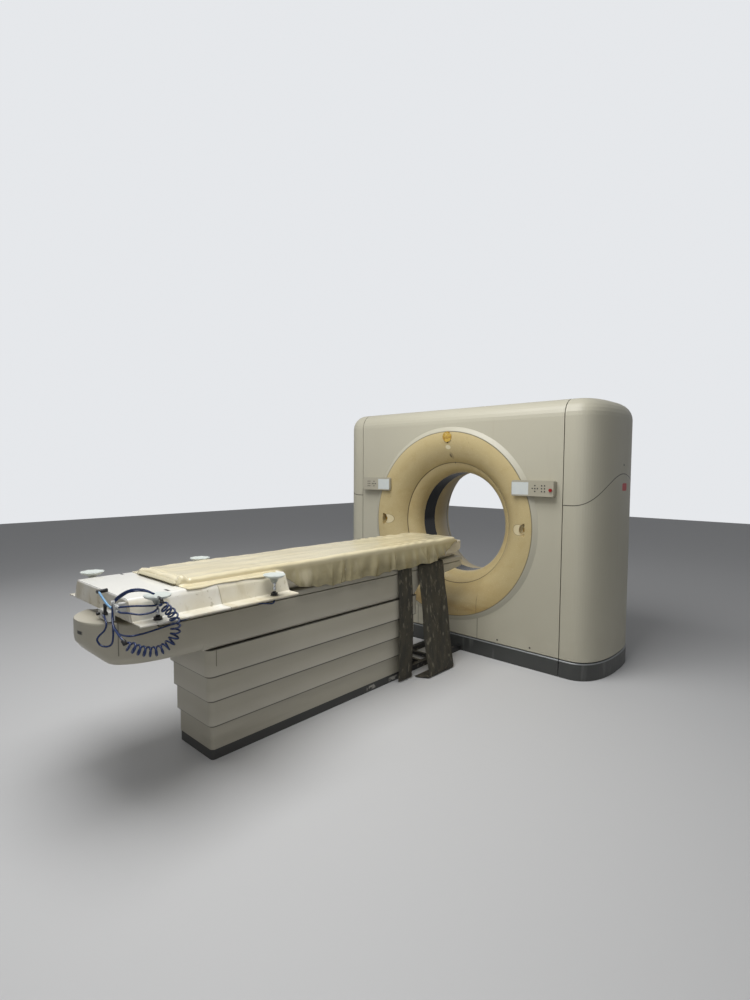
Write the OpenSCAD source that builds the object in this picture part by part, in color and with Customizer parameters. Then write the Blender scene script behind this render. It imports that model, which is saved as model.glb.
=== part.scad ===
// Whole-body scanner with a tilting ring housing and a lifting couch.
// Origin on the floor below the middle of the gantry. X to the gantry's right as seen from
// the couch, Y from the couch into the bore, Z up.

/* [Gantry] */
// Overall width of the gantry
gantry_w = 2492; // [2400:4:2600]
// Overall depth of the gantry covers
gantry_d = 860; // [820:10:900]
// Height of the top cover above the floor
gantry_h = 2000; // [1980:5:2040]
// Height of the bore's axis as a share of the gantry's height
iso_share = 0.519; // [0.515:0.001:0.523]
// Distance of the scan plane, and of the tilt axis, behind the front cover
scan_depth = 320; // [310:2:330]
// Width of each fixed side cover, measured from the middle of its seam
side_cover_w = 265; // [256:1:270]
// Radius of the rounded upper edges
top_edge_r = 130; // [110:5:140]
// Thickness of the moulded covers
cover_wall = 8; // [6:1:9]
// Width of the seams between the tilting section and the fixed side covers
side_seam = 6; // [5:1:8]
// Clearance where one cover seats on another
seat_gap = 0.4; // [0.3:0.1:0.6]
// Exponent of the side covers' rounded plan
plan_power = 2.5; // [2.2:0.1:2.8]
// Reach of the rounded plan beyond its straight part
end_reach = 216; // [206:2:226]

/* [Plinth] */
// Height of the slate plinth
plinth_h = 124; // [118:1:126]
// How far the plinth stands proud of the covers
plinth_proud = 4; // [2:1:6]
// Height and depth of the plinth's bevelled top edge
plinth_bevel = 7; // [5:1:8]
// Thickness of the plinth panels
plinth_wall = 10; // [8:1:12]
// Gap between the plinth and the covers above it
plinth_gap = 9; // [8:1:12]

/* [Bore] */
// Radius of the bore at its narrowest
bore_r = 425; // [415:5:430]
// Outer radius of the front and rear rings
ring_r = 761; // [750:1:770]
// Inner radius of the rings, at the seam with the bore liners
seam_r = 510; // [505:1:515]
// How far the ring's crest stands proud of the covers
ring_proud = 24; // [20:1:28]
// Radius at which the ring's crest lies
ring_crest_r = 720; // [700:5:730]
// Depth of the front seam behind the front cover
front_seam_depth = 103; // [95:1:110]
// Distance of the rear seam from the rear cover's face
rear_seam_depth = 147; // [140:1:155]
// Depth at which the front liner becomes straight
throat_depth = 240; // [236:1:244]
// Length of the black scan window
window_len = 158; // [150:2:166]
// Thickness of the bore's moulded parts
liner_wall = 6; // [5:1:7]
// Half width of the removable lower front panel
lower_panel_half_w = 300; // [280:5:320]
// Width of the raised collar round the ring
collar_w = 40; // [30:2:44]
// How far the collar stands proud at the ring
collar_proud = 19; // [15:1:20]

/* [Controls] */
// Length of a control panel
panel_l = 333; // [320:1:340]
// Height of a control panel
panel_h = 118; // [110:2:124]
// How far a control panel stands out from the cover
panel_proud = 50; // [46:1:54]
// Distance of a control panel's outer end from the side cover's seam
panel_inset = 45; // [40:1:50]
// Height of a control panel's lower edge above the bore's axis
panel_rise = 257; // [247:1:267]
// Width of a control panel's screen
screen_w = 133; // [126:1:136]
// Height of a control panel's screen
screen_h = 92; // [86:2:96]
// Radius of the stop button
stop_r = 12; // [10:1:13]
// Travel of the stop button
stop_travel = 4; // [3:0.5:5]

/* [Rotor] */
// Room between the rotor's rim and the outside of the covers
rotor_room = 100; // [96:1:110]
// Thickness of the rotor's rim
rim_t = 15; // [12:1:18]
// Room between the tube housing and the rim
tube_room = 24; // [22:1:30]
// Radius of the tube housing
tube_r = 86; // [80:1:90]
// Distance of the detector's face from the bore's axis
detector_near_r = 538; // [532:1:542]
// Radius of the belt pulley on the motor
pulley_r = 45; // [42:1:50]
// Inner radius of the main bearing
bearing_r = 480; // [476:1:484]
// Radius of the trunnions
trunnion_r = 60; // [54:1:64]
// Radial clearance of the shafts that turn in plain bores
shaft_gap = 0.05; // [0.03:0.01:0.08]

/* [Couch pedestal] */
// Half width of the lowest shroud
pedestal_half_w = 171; // [166:1:176]
// Half length of the lowest shroud
pedestal_half_l = 798; // [780:2:810]
// Distance of the pedestal's middle from the gantry's middle
pedestal_y = -1926; // [-1936:1:-1916]
// Height of the pedestal's dark plinth
couch_plinth_h = 55; // [45:1:60]
// Step from one shroud to the next, outwards
shroud_step = 13; // [11:1:14]
// Thickness of the shrouds
shroud_wall = 4; // [3:1:5]
// Corner radius of the lowest shroud
shroud_corner_r = 24; // [18:1:30]
// Height of the couch top's underside
housing_z = 588; // [584:1:592]
// Travel of the couch's lift
lift_travel = 330; // [300:5:330]

/* [Couch top] */
// Half width of the couch housing
housing_half_w = 204; // [200:1:206]
// Height of the shadow gap below the deck
deck_gap_z = 762; // [758:1:764]
// Height of the deck's top
deck_z = 800; // [796:1:802]
// Y of the housing's rounded foot end
foot_y = -3290; // [-3300:2:-3280]
// Y of the housing's head end
head_y = -523; // [-540:1:-520]
// Half width of the tabletop
pallet_half_w = 210; // [206:1:214]
// Height of the tabletop's face
pallet_z = 932; // [930:1:933]
// Y of the tabletop's foot end
pallet_foot_y = -3120; // [-3130:2:-3100]
// Y of the tabletop's head end
pallet_head_y = -552; // [-560:1:-540]
// Thickness of the mattress
mattress_t = 26; // [24:1:28]
// Travel of the tabletop
table_travel = 1600; // [1400:20:1600]
// Half width of the adapter tray's top plate
tray_top_half_w = 295; // [285:1:305]
// Half width of the adapter tray over its flanges
tray_half_w = 412; // [400:1:420]
// Length of the adapter tray
tray_l = 905; // [880:5:930]
// Thickness of the tray's sheet
tray_t = 5; // [4:0.5:6]
// Radius of the levelling pads
pad_r = 57; // [52:1:60]
// Distance of the levelling pads from the couch's middle
pad_x = 367; // [360:1:374]
// Y of the narrow strap's foot-side edge, and its width
narrow_strap_y = -1318; // [-1330:2:-1306]
narrow_strap_w = 150; // [140:2:160]
// Y of the wide strap's foot-side edge, and its width
wide_strap_y = -1100; // [-1112:2:-1090]
wide_strap_w = 308; // [296:2:316]

/* [Hidden] */
$fn = 96;
// Small overshoot of a cutting solid past the face that it cuts
e = 1;
half_w = gantry_w / 2;
half_d = gantry_d / 2;
front_y = -half_d;
tilt_y = front_y + scan_depth;
iso_h = gantry_h * iso_share;
middle_half_w = half_w - side_cover_w;
straight_x = half_w - end_reach;
middle_x = middle_half_w - side_seam / 2;
side_x = middle_half_w + side_seam / 2;
cover_z = plinth_h + plinth_gap;
// The tilting section's underside is round about the tilt axis, and meets the front cover's
// lower edge
under_r = norm([iso_h - cover_z, scan_depth]);
rotor_r = round(min(middle_half_w - 21, under_r, gantry_h - iso_h)) - rotor_room;
panel_x = middle_half_w - panel_l - panel_inset;
panel_z = iso_h + panel_rise;

// Colours
ivory = [0.86, 0.85, 0.80];
yellowed = [0.82, 0.75, 0.55];
slate = [0.36, 0.37, 0.38];
greige = [0.66, 0.64, 0.59];
near_black = [0.10, 0.10, 0.11];
steel = [0.55, 0.57, 0.60];
machine_grey = [0.42, 0.44, 0.47];
copper = [0.72, 0.45, 0.28];
cream = [0.93, 0.90, 0.78];

// Points of an arc about (cx, cy) from angle a0 to a1 in n steps
function arc(cx, cy, r, a0, a1, n) =
    [for (i = [0 : n]) let (a = a0 + (a1 - a0) * i / n) [cx + r * cos(a), cy + r * sin(a)]];
function mirrored(points) = [for (i = [len(points) - 1 : -1 : 0]) [-points[i][0], points[i][1]]];

// A rectangle of half sizes w and l about (0, cy), its corners rounded with radius r
function rounded_box(w, l, cy, r, n = 6) = concat(
    arc(w - r, cy + l - r, r, 0, 90, n), arc(-w + r, cy + l - r, r, 90, 180, n),
    arc(-w + r, cy - l + r, r, 180, 270, n), arc(w - r, cy - l + r, r, 270, 360, n));

// Closed solid through rings of equal length, each a closed loop of points
module loft(rings) {
    m = len(rings[0]);
    k = len(rings);
    points = [for (ring = rings) each ring];
    sides = [for (j = [0 : k - 2], i = [0 : m - 1])
        [j * m + i, j * m + (i + 1) % m, (j + 1) * m + (i + 1) % m, (j + 1) * m + i]];
    bottom = [for (i = [m - 1 : -1 : 0]) i];
    top = [for (i = [0 : m - 1]) (k - 1) * m + i];
    polyhedron(points, concat([bottom], sides, [top]), convexity = 6);
}

// Extrudes a profile drawn in (y, z) along X
module along_x(x0, x1) {
    translate([x0, 0, 0]) rotate([90, 0, 90]) linear_extrude(x1 - x0) children();
}

// Extrudes a profile drawn in (x, z) along Y
module along_y(y0, y1) {
    translate([0, y1, 0]) rotate([90, 0, 0]) linear_extrude(y1 - y0) children();
}

// Turns a solid made round Z so that its axis is the bore's and its Z is the row's Y
module about_bore() {
    translate([0, 0, iso_h]) rotate([-90, 0, 0]) children();
}

// A tube along the bore's axis
module bore_tube(r0, r1, y0, y1) {
    about_bore() translate([0, 0, y0]) difference() {
        cylinder(r = r1, h = y1 - y0);
        translate([0, 0, -e]) cylinder(r = r0, h = y1 - y0 + 2 * e);
    }
}

// Gantry covers

// Side outline of the tilting section in (y, z), inset by d from the outside:
// rounded upper edges, and an underside that is round about the tilt axis
function tilt_outline(d) =
    let (r = top_edge_r - d, z = gantry_h - top_edge_r, u = under_r - d, y = half_d - top_edge_r,
         back = -acos((half_d - d - tilt_y) / u), front = -acos((front_y + d - tilt_y) / u))
    concat(arc(-y, z, r, 180, 90, 8), arc(y, z, r, 90, 0, 8), arc(tilt_y, iso_h, u, back, front, 14));

module tilt_shell() {
    difference() {
        along_x(-middle_x, middle_x) polygon(tilt_outline(0));
        along_x(-middle_x + cover_wall, middle_x - cover_wall) polygon(tilt_outline(cover_wall));
    }
}

// The raised collar that leads from the cover to the ring; side is -1 at the front, 1 at the rear
module collar(side) {
    inner = ring_r + seat_gap;
    face = side * half_d;
    about_bore() rotate_extrude() polygon([
        [inner, face - side * cover_wall], [inner, face + side * collar_proud],
        [inner + 7, face + side * collar_proud], [inner + collar_w, face],
        [inner + collar_w, face - side * cover_wall]]);
}

module ring_hole(side) {
    about_bore() translate([0, 0, side * half_d - 60])
        cylinder(r = ring_r + seat_gap, h = 120);
}

module trunnion_holes() {
    for (s = [-1, 1]) translate([s * middle_x, tilt_y, iso_h]) rotate([0, 90, 0])
        cylinder(r = trunnion_r + 6, h = 4 * cover_wall, center = true);
}

// The lower panel's opening, or the panel's own outline when it is inset by its clearance
module lower_panel_box(inset) {
    translate([-lower_panel_half_w + inset, front_y - 60, 0])
        cube([2 * (lower_panel_half_w - inset), 60 + cover_wall + (inset > 0 ? -0.01 : e), iso_h]);
}

module front_half() {
    translate([-gantry_w, -gantry_d, 0]) cube([2 * gantry_w, gantry_d - seat_gap, 2 * gantry_h]);
}

module front_cover() {
    color(ivory) difference() {
        intersection() {
            union() {
                tilt_shell();
                collar(-1);
            }
            front_half();
        }
        ring_hole(-1);
        lower_panel_box(0);
        trunnion_holes();
    }
}

module lower_front_panel() {
    color(ivory) difference() {
        intersection() {
            union() {
                tilt_shell();
                collar(-1);
            }
            lower_panel_box(2 * seat_gap);
        }
        ring_hole(-1);
    }
}

module rear_cover() {
    color(ivory) difference() {
        union() {
            tilt_shell();
            collar(1);
        }
        front_half();
        ring_hole(1);
    }
}

// Centre height and radius of the circle whose crest is the ring's, and that meets the seam
function bulge_r(depth) =
    let (a = ring_crest_r - seam_r, b = depth + ring_proud) (a * a + b * b) / (2 * b);

// The ring's bulging wall; side is -1 at the front, 1 at the rear
module ring_body(side, depth) {
    r = bulge_r(depth);
    centre = side * (half_d + ring_proud - r);
    about_bore() rotate_extrude() intersection() {
        difference() {
            translate([ring_crest_r, centre]) circle(r, $fn = 240);
            translate([ring_crest_r, centre]) circle(r - liner_wall, $fn = 240);
        }
        translate([seam_r + seat_gap, min(centre, centre + side * (r + e))])
            square([ring_r - seam_r - seat_gap, r + e]);
    }
}

// Half-moon pockets for the positioning lights: the round edge is towards the bore
pocket_x = 705;
pocket_r = 50;
pocket_depth = 34;
pocket_wall = 4;
module pocket(r, y0, y1) {
    for (s = [-1, 1]) intersection() {
        translate([s * pocket_x, y0, iso_h]) rotate([-90, 0, 0]) cylinder(r = r, h = y1 - y0);
        translate([s > 0 ? pocket_x - 2 * r : -pocket_x - (r - pocket_r), y0 - e, iso_h - r - e])
            cube([2 * r + (r - pocket_r), y1 - y0 + 2 * e, 2 * r + 2 * e]);
    }
}
pocket_y = front_y - ring_proud + 8;

module ring_sector(inset) {
    translate([-lower_panel_half_w + inset, front_y - 60, 0])
        cube([2 * (lower_panel_half_w - inset), gantry_d, iso_h - seam_r / 2]);
}

module front_ring() {
    bulge = bulge_r(front_seam_depth);
    color(yellowed) difference() {
        union() {
            ring_body(-1, front_seam_depth);
            intersection() {
                pocket(pocket_r + pocket_wall, front_y - 2 * ring_proud, pocket_y + pocket_depth + pocket_wall);
                about_bore() rotate_extrude() translate([ring_crest_r, front_y - ring_proud + bulge])
                    circle(bulge - liner_wall / 2, $fn = 240);
            }
        }
        pocket(pocket_r, front_y - 60, pocket_y + pocket_depth);
        ring_sector(0);
    }
}

module front_ring_lower() {
    color(yellowed) intersection() {
        ring_body(-1, front_seam_depth);
        ring_sector(2 * seat_gap);
    }
}

// Funnel between a seam and the straight bore. Its wall is a slice of a torus whose inside
// is tangent to the bore at the throat.
module funnel(side, seam_y, throat_y) {
    a = seam_r - bore_r;
    b = abs(seam_y - throat_y);
    r = (a * a + b * b) / (2 * a);
    about_bore() rotate_extrude() intersection() {
        difference() {
            translate([bore_r + r, throat_y]) circle(r, $fn = 240);
            translate([bore_r + r, throat_y]) circle(r - liner_wall, $fn = 240);
        }
        translate([bore_r - e, side < 0 ? throat_y - b - liner_wall : throat_y])
            square([a + e, b + liner_wall]);
    }
}

throat_y = front_y + throat_depth;
window_y = throat_y + seat_gap;
rear_throat_y = window_y + window_len + seat_gap;
rear_straight = 20;

module front_bore_liner() {
    color(yellowed) funnel(-1, front_y + front_seam_depth, throat_y);
}

module scan_window() {
    color(near_black) bore_tube(bore_r, bore_r + liner_wall, window_y, window_y + window_len);
}

module rear_bore_liner() {
    color(yellowed) union() {
        bore_tube(bore_r, bore_r + liner_wall, rear_throat_y, rear_throat_y + rear_straight);
        funnel(1, half_d - rear_seam_depth, rear_throat_y + rear_straight);
    }
}

module rear_ring() {
    color(yellowed) ring_body(1, rear_seam_depth);
}

// Fixed side covers, plinths and liners

// Rounded plan of a side cover at an inset d: a straight run and a superellipse end
function end_plan(d, x0, steps = 40) =
    let (a = end_reach - d, b = half_d - d)
    concat([[x0, -b]],
        [for (i = [0 : steps]) let (t = -90 + 180 * i / steps)
            [straight_x + a * pow(abs(cos(t)), 2 / plan_power),
             b * sign(sin(t)) * pow(abs(sin(t)), 2 / plan_power)]],
        [[x0, b]]);

function edge_inset(r, t) = r - r * cos(t);
edge_z = gantry_h - top_edge_r;
edge_steps = 7;
// Rings of a side cover's domed top at an inset d, from the start of its rounded edge up
function dome_rings(d, x0) =
    let (r = top_edge_r - d)
    [for (i = [0 : edge_steps]) let (t = 90 * i / edge_steps)
        [for (p = end_plan(d + edge_inset(r, t), x0)) [p[0], p[1], edge_z + r * sin(t)]]];

// S-shaped seam between the upper and lower side covers, drawn along the cover's diagonal
seam_low_u = 430;
seam_high_u = 885;
seam_mid_z = gantry_h - 649;
seam_rise = 112;
seam_from = 300;
seam_to = 1300;
// Clearance between the two covers along the seam
seam_lift = 1.4;
function seam_z(u) = seam_mid_z - seam_rise * cos(180 * (u - seam_low_u) / (seam_high_u - seam_low_u));
module below_seam() {
    depth = 1600;
    points = concat([for (i = [0 : 40]) let (u = seam_from + (seam_to - seam_from) * i / 40)
        [u, seam_z(max(u, seam_low_u))]], [[seam_to, 0], [seam_from, 0]]);
    rotate([0, 0, 45]) translate([0, depth, 0]) rotate([90, 0, 0])
        linear_extrude(2 * depth) polygon(points);
}

// The walls are plain on the plan, so they stay exact extrusions
module side_wall() {
    translate([0, 0, cover_z]) linear_extrude(edge_z - cover_z) difference() {
        polygon(end_plan(0, side_x));
        polygon(end_plan(cover_wall, side_x - e));
    }
}

module side_cover_lower() {
    rear_z = seam_z((side_x + half_d) / sqrt(2));
    difference() {
        intersection() {
            side_wall();
            below_seam();
        }
        // Notch for the upper cover's return at the rear corner
        translate([side_x - e, half_d - cover_wall - e, rear_z - seam_lift])
            cube([liner_t + 2 * e, cover_wall + 2 * e, 20]);
    }
}

// The upper cover is one skin: down its inside from the top, round the seam's edge and up
// its outside. A thin return closes it towards the tilting section.
function seam_ring(d, x0) = [for (p = end_plan(d, x0))
    [p[0], p[1], seam_z(max((p[0] + p[1]) / sqrt(2), seam_low_u)) + seam_lift]];
module side_cover_upper() {
    inside = dome_rings(cover_wall, side_x + liner_t);
    outside = dome_rings(0, side_x);
    loft(concat([for (i = [len(outside) - 1 : -1 : 0]) outside[i]],
        [seam_ring(0, side_x), seam_ring(cover_wall, side_x + liner_t)], inside));
}

module side_cover_right_lower() { color(ivory) side_cover_lower(); }
module side_cover_left_lower() { color(ivory) mirror([1, 0, 0]) side_cover_lower(); }
module side_cover_right_upper() { color(ivory) side_cover_upper(); }
module side_cover_left_upper() { color(ivory) mirror([1, 0, 0]) side_cover_upper(); }

// Inner panels that close the lower side covers; the upper covers' returns stand on them
liner_t = 5;
module side_liners() {
    d = cover_wall + seat_gap;
    function end(y) = seam_z(max((side_x + y) / sqrt(2), seam_low_u));
    function top(y) = end(front_y) + (end(half_d) - end(front_y)) * (y - front_y) / gantry_d
        + seam_lift - seat_gap;
    outline = [[front_y + d, cover_z], [half_d - d, cover_z], [half_d - d, top(half_d - d)],
        [front_y + d, top(front_y)]];
    color(ivory) for (s = [-1, 1]) difference() {
        along_x(s > 0 ? side_x : -side_x - liner_t, s > 0 ? side_x + liner_t : -side_x)
            polygon(outline);
        translate([s * side_x, tilt_y, iso_h]) rotate([0, 90, 0])
            cylinder(r = trunnion_r + 6, h = 4 * liner_t, center = true);
    }
}

// Plinth section in (distance inwards from its face, z)
module plinth_side() {
    function ring(d, z) = [for (p = end_plan(d - plinth_proud, side_x)) [p[0], p[1], z]];
    difference() {
        loft([ring(plinth_bevel, plinth_h), ring(0, plinth_h - plinth_bevel), ring(0, 0)]);
        translate([0, 0, -e]) linear_extrude(plinth_h + 2 * e)
            polygon(end_plan(plinth_wall - plinth_proud, side_x - e));
    }
}
module plinth_right() { color(slate) plinth_side(); }
module plinth_left() { color(slate) mirror([1, 0, 0]) plinth_side(); }

module front_plinth() {
    y = front_y - plinth_proud;
    color(slate) along_x(-middle_x, middle_x) polygon([[y, 0], [y, plinth_h - plinth_bevel],
        [y + plinth_bevel, plinth_h], [y + plinth_wall, plinth_h], [y + plinth_wall, 0]]);
}

// The rear skirt reaches up to the raised rear edge of the tilting section
rear_edge_z = iso_h - sqrt(pow(under_r, 2) - pow(half_d - tilt_y, 2));
module rear_skirt() {
    y = half_d;
    top = rear_edge_z - plinth_gap;
    color(slate) along_x(-middle_x, middle_x) polygon([[y, 0], [y, top - plinth_bevel],
        [y - plinth_bevel, top], [y - plinth_wall, top], [y - plinth_wall, 0]]);
}

// Fixed structure

skid_x = middle_half_w + 9;
skid_w = 72;
beam_h = 50;
skid_h = 60;
tower_x = middle_half_w + 19;
tower_w = 90;
tower_d = 240;
tower_top = iso_h + 142;
foot_w = 130;
anchor_x = middle_half_w + 104;
anchor_y = 300;
anchor_r = 9;
post_w = 50;
post_top = gantry_h - 280;
front_beam_y = front_y - plinth_proud + plinth_wall + seat_gap;
module frame_side() {
    inner_end = straight_x + end_reach + plinth_proud - plinth_wall - 2 * seat_gap;
    reach_y = 20;
    skid_l = 2 * (half_d - 14);
    // Skid, outrigger and the foot that carries the plinth's end
    translate([skid_x, -skid_l / 2, 0]) cube([skid_w, skid_l, skid_h]);
    translate([skid_x, -anchor_y - 20, 0]) cube([skid_w + foot_w - 10, 2 * anchor_y + 40, skid_h]);
    translate([skid_x, -reach_y, 0]) cube([inner_end - skid_x, 2 * reach_y, skid_h]);
    // Tower with its post and the arms that carry the side covers
    translate([tower_x, tilt_y - tower_d / 2, 0]) cube([tower_w, tower_d, tower_top]);
    translate([tower_x, tilt_y - post_w / 2, 0]) cube([post_w, post_w, post_top]);
    arm_end = half_w - cover_wall - 4.6;
    for (z = [300, post_top - 40])
        translate([tower_x, tilt_y - 12, z]) cube([arm_end - tower_x, 24, 40]);
}
module gantry_base_frame() {
    trunnion_bore = trunnion_r + shaft_gap;
    color(machine_grey) difference() {
        union() {
            for (s = [0, 1]) mirror([s, 0, 0]) frame_side();
            for (y = [front_beam_y, -40, half_d - plinth_wall - seat_gap - 80])
                translate([-skid_x - e, y, 0]) cube([2 * (skid_x + e), 80, beam_h]);
        }
        for (s = [-1, 1]) {
            translate([s * (tower_x + tower_w / 2), tilt_y, iso_h]) rotate([0, 90, 0])
                cylinder(r = trunnion_bore, h = tower_w + 2 * e, center = true);
            // Lightening holes in the towers
            for (k = [1 : 3]) translate([s * (tower_x + tower_w / 2), tilt_y, iso_h - 118 - 220 * k])
                rotate([0, 90, 0]) cylinder(r = 70, h = tower_w + 2 * e, center = true);
            for (y = [-anchor_y, anchor_y]) translate([s * anchor_x, y, -e])
                cylinder(r = anchor_r, h = skid_h + 2 * e);
        }
    }
}

module tilt_gearbox() {
    x = -tower_x - tower_w - seat_gap;
    color(steel) difference() {
        union() {
            translate([x - 60, tilt_y, iso_h]) rotate([0, 90, 0]) cylinder(r = 110, h = 60);
            translate([x - 60, tilt_y - 45, iso_h - 130]) cube([60, 90, 60]);
            translate([x - 45, tilt_y, iso_h - 330]) cylinder(r = 44, h = 210);
        }
        translate([x - 30, tilt_y, iso_h]) rotate([0, 90, 0])
            cylinder(r = trunnion_r + shaft_gap, h = 60);
    }
}

// Tilting structure

frame_y = 55;
frame_t = 40;
frame_r = rotor_r + 40;
trunnion_end = tower_x + tower_w + 20;
arm_x = middle_half_w - 96;
arm_h = 180;
motor_angle = 141.3;
motor_orbit_r = rotor_r + 164;
pulley_shaft_r = 12;
module at_motor() {
    about_bore() rotate([0, 0, motor_angle]) translate([motor_orbit_r, 0, 0])
        rotate([0, 0, -motor_angle]) children();
}
module tilt_frame() {
    outer_race_r = bearing_r + 95;
    plate_half_w = middle_x - cover_wall - seat_gap;
    color(machine_grey) union() {
        // Plate with the bearing's seat and the motor's arm
        about_bore() translate([0, 0, frame_y]) linear_extrude(frame_t) difference() {
            union() {
                circle(frame_r);
                square([2 * plate_half_w, 300], center = true);
                rotate(motor_angle) translate([frame_r - 60, -100])
                    square([motor_orbit_r - frame_r + 150, 200]);
            }
            circle(outer_race_r + seat_gap);
            rotate(motor_angle) translate([motor_orbit_r, 0]) circle(pulley_shaft_r + shaft_gap);
        }
        // Arms that carry the trunnions
        for (s = [-1, 1]) {
            translate([s > 0 ? arm_x : -plate_half_w + 2, tilt_y - 75, iso_h - arm_h / 2])
                cube([plate_half_w - 2 - arm_x, frame_y + frame_t / 2 - tilt_y + 75, arm_h]);
            translate([s > 0 ? arm_x + 30 : -trunnion_end, tilt_y, iso_h]) rotate([0, 90, 0])
                cylinder(r = trunnion_r, h = trunnion_end - arm_x - 30);
        }
    }
}

slip_y = 105;
slip_t = 25;
slip_r = bearing_r + 190;
module bearing_outer_race() {
    color(steel) bore_tube(bearing_r + 48.5, bearing_r + 95, 45, 100);
}

module brush_block() {
    color(machine_grey) {
        block_y = slip_y + slip_t + 1;
        arm_z = iso_h + slip_r + 6;
        translate([-60, block_y, iso_h + slip_r - 70]) cube([120, 60, 92]);
        translate([-30, frame_y + frame_t, arm_z]) cube([60, block_y + 60 - frame_y - frame_t, 16]);
        translate([-60, frame_y + frame_t, arm_z - 20]) cube([120, 8, 70]);
    }
}

belt_y = -60;
belt_w = 30;
belt_t = 5;
module drive_motor() {
    color(steel) at_motor() difference() {
        union() {
            translate([0, 0, frame_y + frame_t]) cylinder(r = 68, h = 150);
            translate([0, 0, frame_y + frame_t + 150]) cylinder(r = 50, h = 12);
        }
        translate([0, 0, frame_y + frame_t - e]) cylinder(r = pulley_shaft_r + 1, h = 60);
    }
}

module motor_pulley() {
    color(steel) at_motor() {
        translate([0, 0, belt_y - 4]) cylinder(r = pulley_r + 8, h = 4 - 0.4);
        translate([0, 0, belt_y - 0.4]) cylinder(r = pulley_r, h = belt_w + 0.8);
        translate([0, 0, belt_y + belt_w + 0.4]) cylinder(r = pulley_r + 8, h = 4 - 0.4);
        translate([0, 0, belt_y + belt_w]) cylinder(r = pulley_shaft_r,
            h = frame_y + frame_t + 50 - belt_y - belt_w);
    }
}

// Loop round the rotor's rim and the pulley, in the bore's own plane
function belt_loop(gap) =
    let (wrap = acos((rotor_r - pulley_r) / motor_orbit_r), n = 72, m = 10,
         step = (360 - 2 * wrap) / n, big = (rotor_r + gap) / cos(step / 2),
         small = (pulley_r + gap) / cos(wrap / m), c = motor_angle)
    concat(arc(0, 0, big, c + wrap, c + 360 - wrap, n),
        arc(motor_orbit_r * cos(c), motor_orbit_r * sin(c), small, c - wrap, c + wrap, m));
module drive_belt() {
    color(near_black) about_bore() translate([0, 0, belt_y]) linear_extrude(belt_w) difference() {
        polygon(belt_loop(0.4 + belt_t));
        polygon(belt_loop(0.4));
    }
}

// Rotor

plate_y = 10;
plate_t = 30;
rim_front_y = -250;
module rotor_drum() {
    color(steel) about_bore() difference() {
        translate([0, 0, rim_front_y]) cylinder(r = rotor_r, h = plate_y + plate_t - rim_front_y);
        translate([0, 0, rim_front_y - e])
            cylinder(r = rotor_r - rim_t, h = plate_y - rim_front_y + e);
        translate([0, 0, plate_y - e]) cylinder(r = bearing_r, h = plate_t + 2 * e);
        for (k = [0 : 11]) rotate([0, 0, 15 + 30 * k]) translate([rotor_r - 70, 0, plate_y - e])
            cylinder(r = 22, h = plate_t + 2 * e);
    }
}

module bearing_inner_race() {
    color(steel) bore_tube(bearing_r, bearing_r + 47.5, plate_y + plate_t, slip_y);
}

module slip_ring() {
    color(copper) about_bore() translate([0, 0, slip_y]) difference() {
        cylinder(r = slip_r, h = slip_t);
        translate([0, 0, -e]) cylinder(r = bearing_r - 2, h = slip_t + 2 * e);
        // Grooves between the tracks
        for (k = [0 : 4]) translate([0, 0, 22]) difference() {
            cylinder(r = bearing_r + 70 + 24 * k, h = 4);
            translate([0, 0, -e]) cylinder(r = bearing_r + 62 + 24 * k, h = 6);
        }
        // Relief over the outer race
        translate([0, 0, -e]) difference() {
            cylinder(r = slip_r + 10, h = 6);
            translate([0, 0, -e]) cylinder(r = bearing_r + 46, h = 8);
        }
    }
}

tube_orbit_r = rotor_r - rim_t - tube_r - tube_room;
focal_r = tube_orbit_r - 88;
detector_r = focal_r + detector_near_r;
detector_t = 95;
module xray_tube() {
    color(steel) about_bore() rotate([0, 0, -90]) translate([tube_orbit_r, 0, 0]) {
        translate([0, 0, -250]) cylinder(r = tube_r, h = 225);
        translate([0, 0, -275]) cylinder(r = tube_r - 20, h = 25);
        translate([0, 0, -25]) cylinder(r = tube_r - 12, h = 25 + plate_y);
        // Cable horns
        for (z = [-215, -70]) translate([0, 0, z]) rotate([90, 0, 0]) cylinder(r = 28, h = 120);
    }
}

module beam_collimator() {
    top = iso_h + tube_orbit_r - tube_r - seat_gap;
    color(machine_grey) difference() {
        union() {
            translate([-110, tilt_y - 55, top - 85]) cube([220, 110, 85]);
            translate([-70, tilt_y, top - 85]) cube([140, plate_y - tilt_y, 40]);
        }
        translate([-80, tilt_y - 12, top - 85 - e]) cube([160, 24, 85 + 2 * e]);
    }
}

module detector_arc() {
    span = 50;
    color(machine_grey) translate([0, 0, iso_h + focal_r]) rotate([-90, 0, 0])
        rotate([0, 0, 90 - span / 2]) rotate_extrude(angle = span)
            polygon([[detector_r, tilt_y - 50], [detector_r, tilt_y + 50], [detector_r + 30, tilt_y + 50],
                [detector_r + 30, plate_y], [detector_r + detector_t, plate_y],
                [detector_r + detector_t, tilt_y - 50]]);
}

// The boxes at the rotor's sides reach nearly to its rim
box_x = rotor_r - rim_t - 30;
box_w = 215;
box_front_y = -240;
module hv_generator() {
    color(machine_grey) {
        translate([box_x - box_w, box_front_y, iso_h - 150]) cube([box_w, plate_y - box_front_y, 300]);
        translate([box_x - box_w + 30, box_front_y - 16, iso_h - 110]) cube([box_w - 65, 16, 220]);
    }
}

module tube_cooler() {
    color(machine_grey) difference() {
        translate([-box_x, box_front_y + 10, iso_h - 120])
            cube([box_w - 10, plate_y - box_front_y - 10, 280]);
        for (z = [iso_h - 50, iso_h + 90])
            translate([-box_x + box_w / 2 - 5, box_front_y + 10 - e, z]) rotate([-90, 0, 0])
                cylinder(r = 55, h = 40);
        // Slots between the cooling fins
        for (k = [0 : 11]) translate([-box_x - e, box_front_y + 40 + 14 * k, iso_h - 100])
            cube([30, 6, 240]);
    }
}

// Control panels

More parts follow.
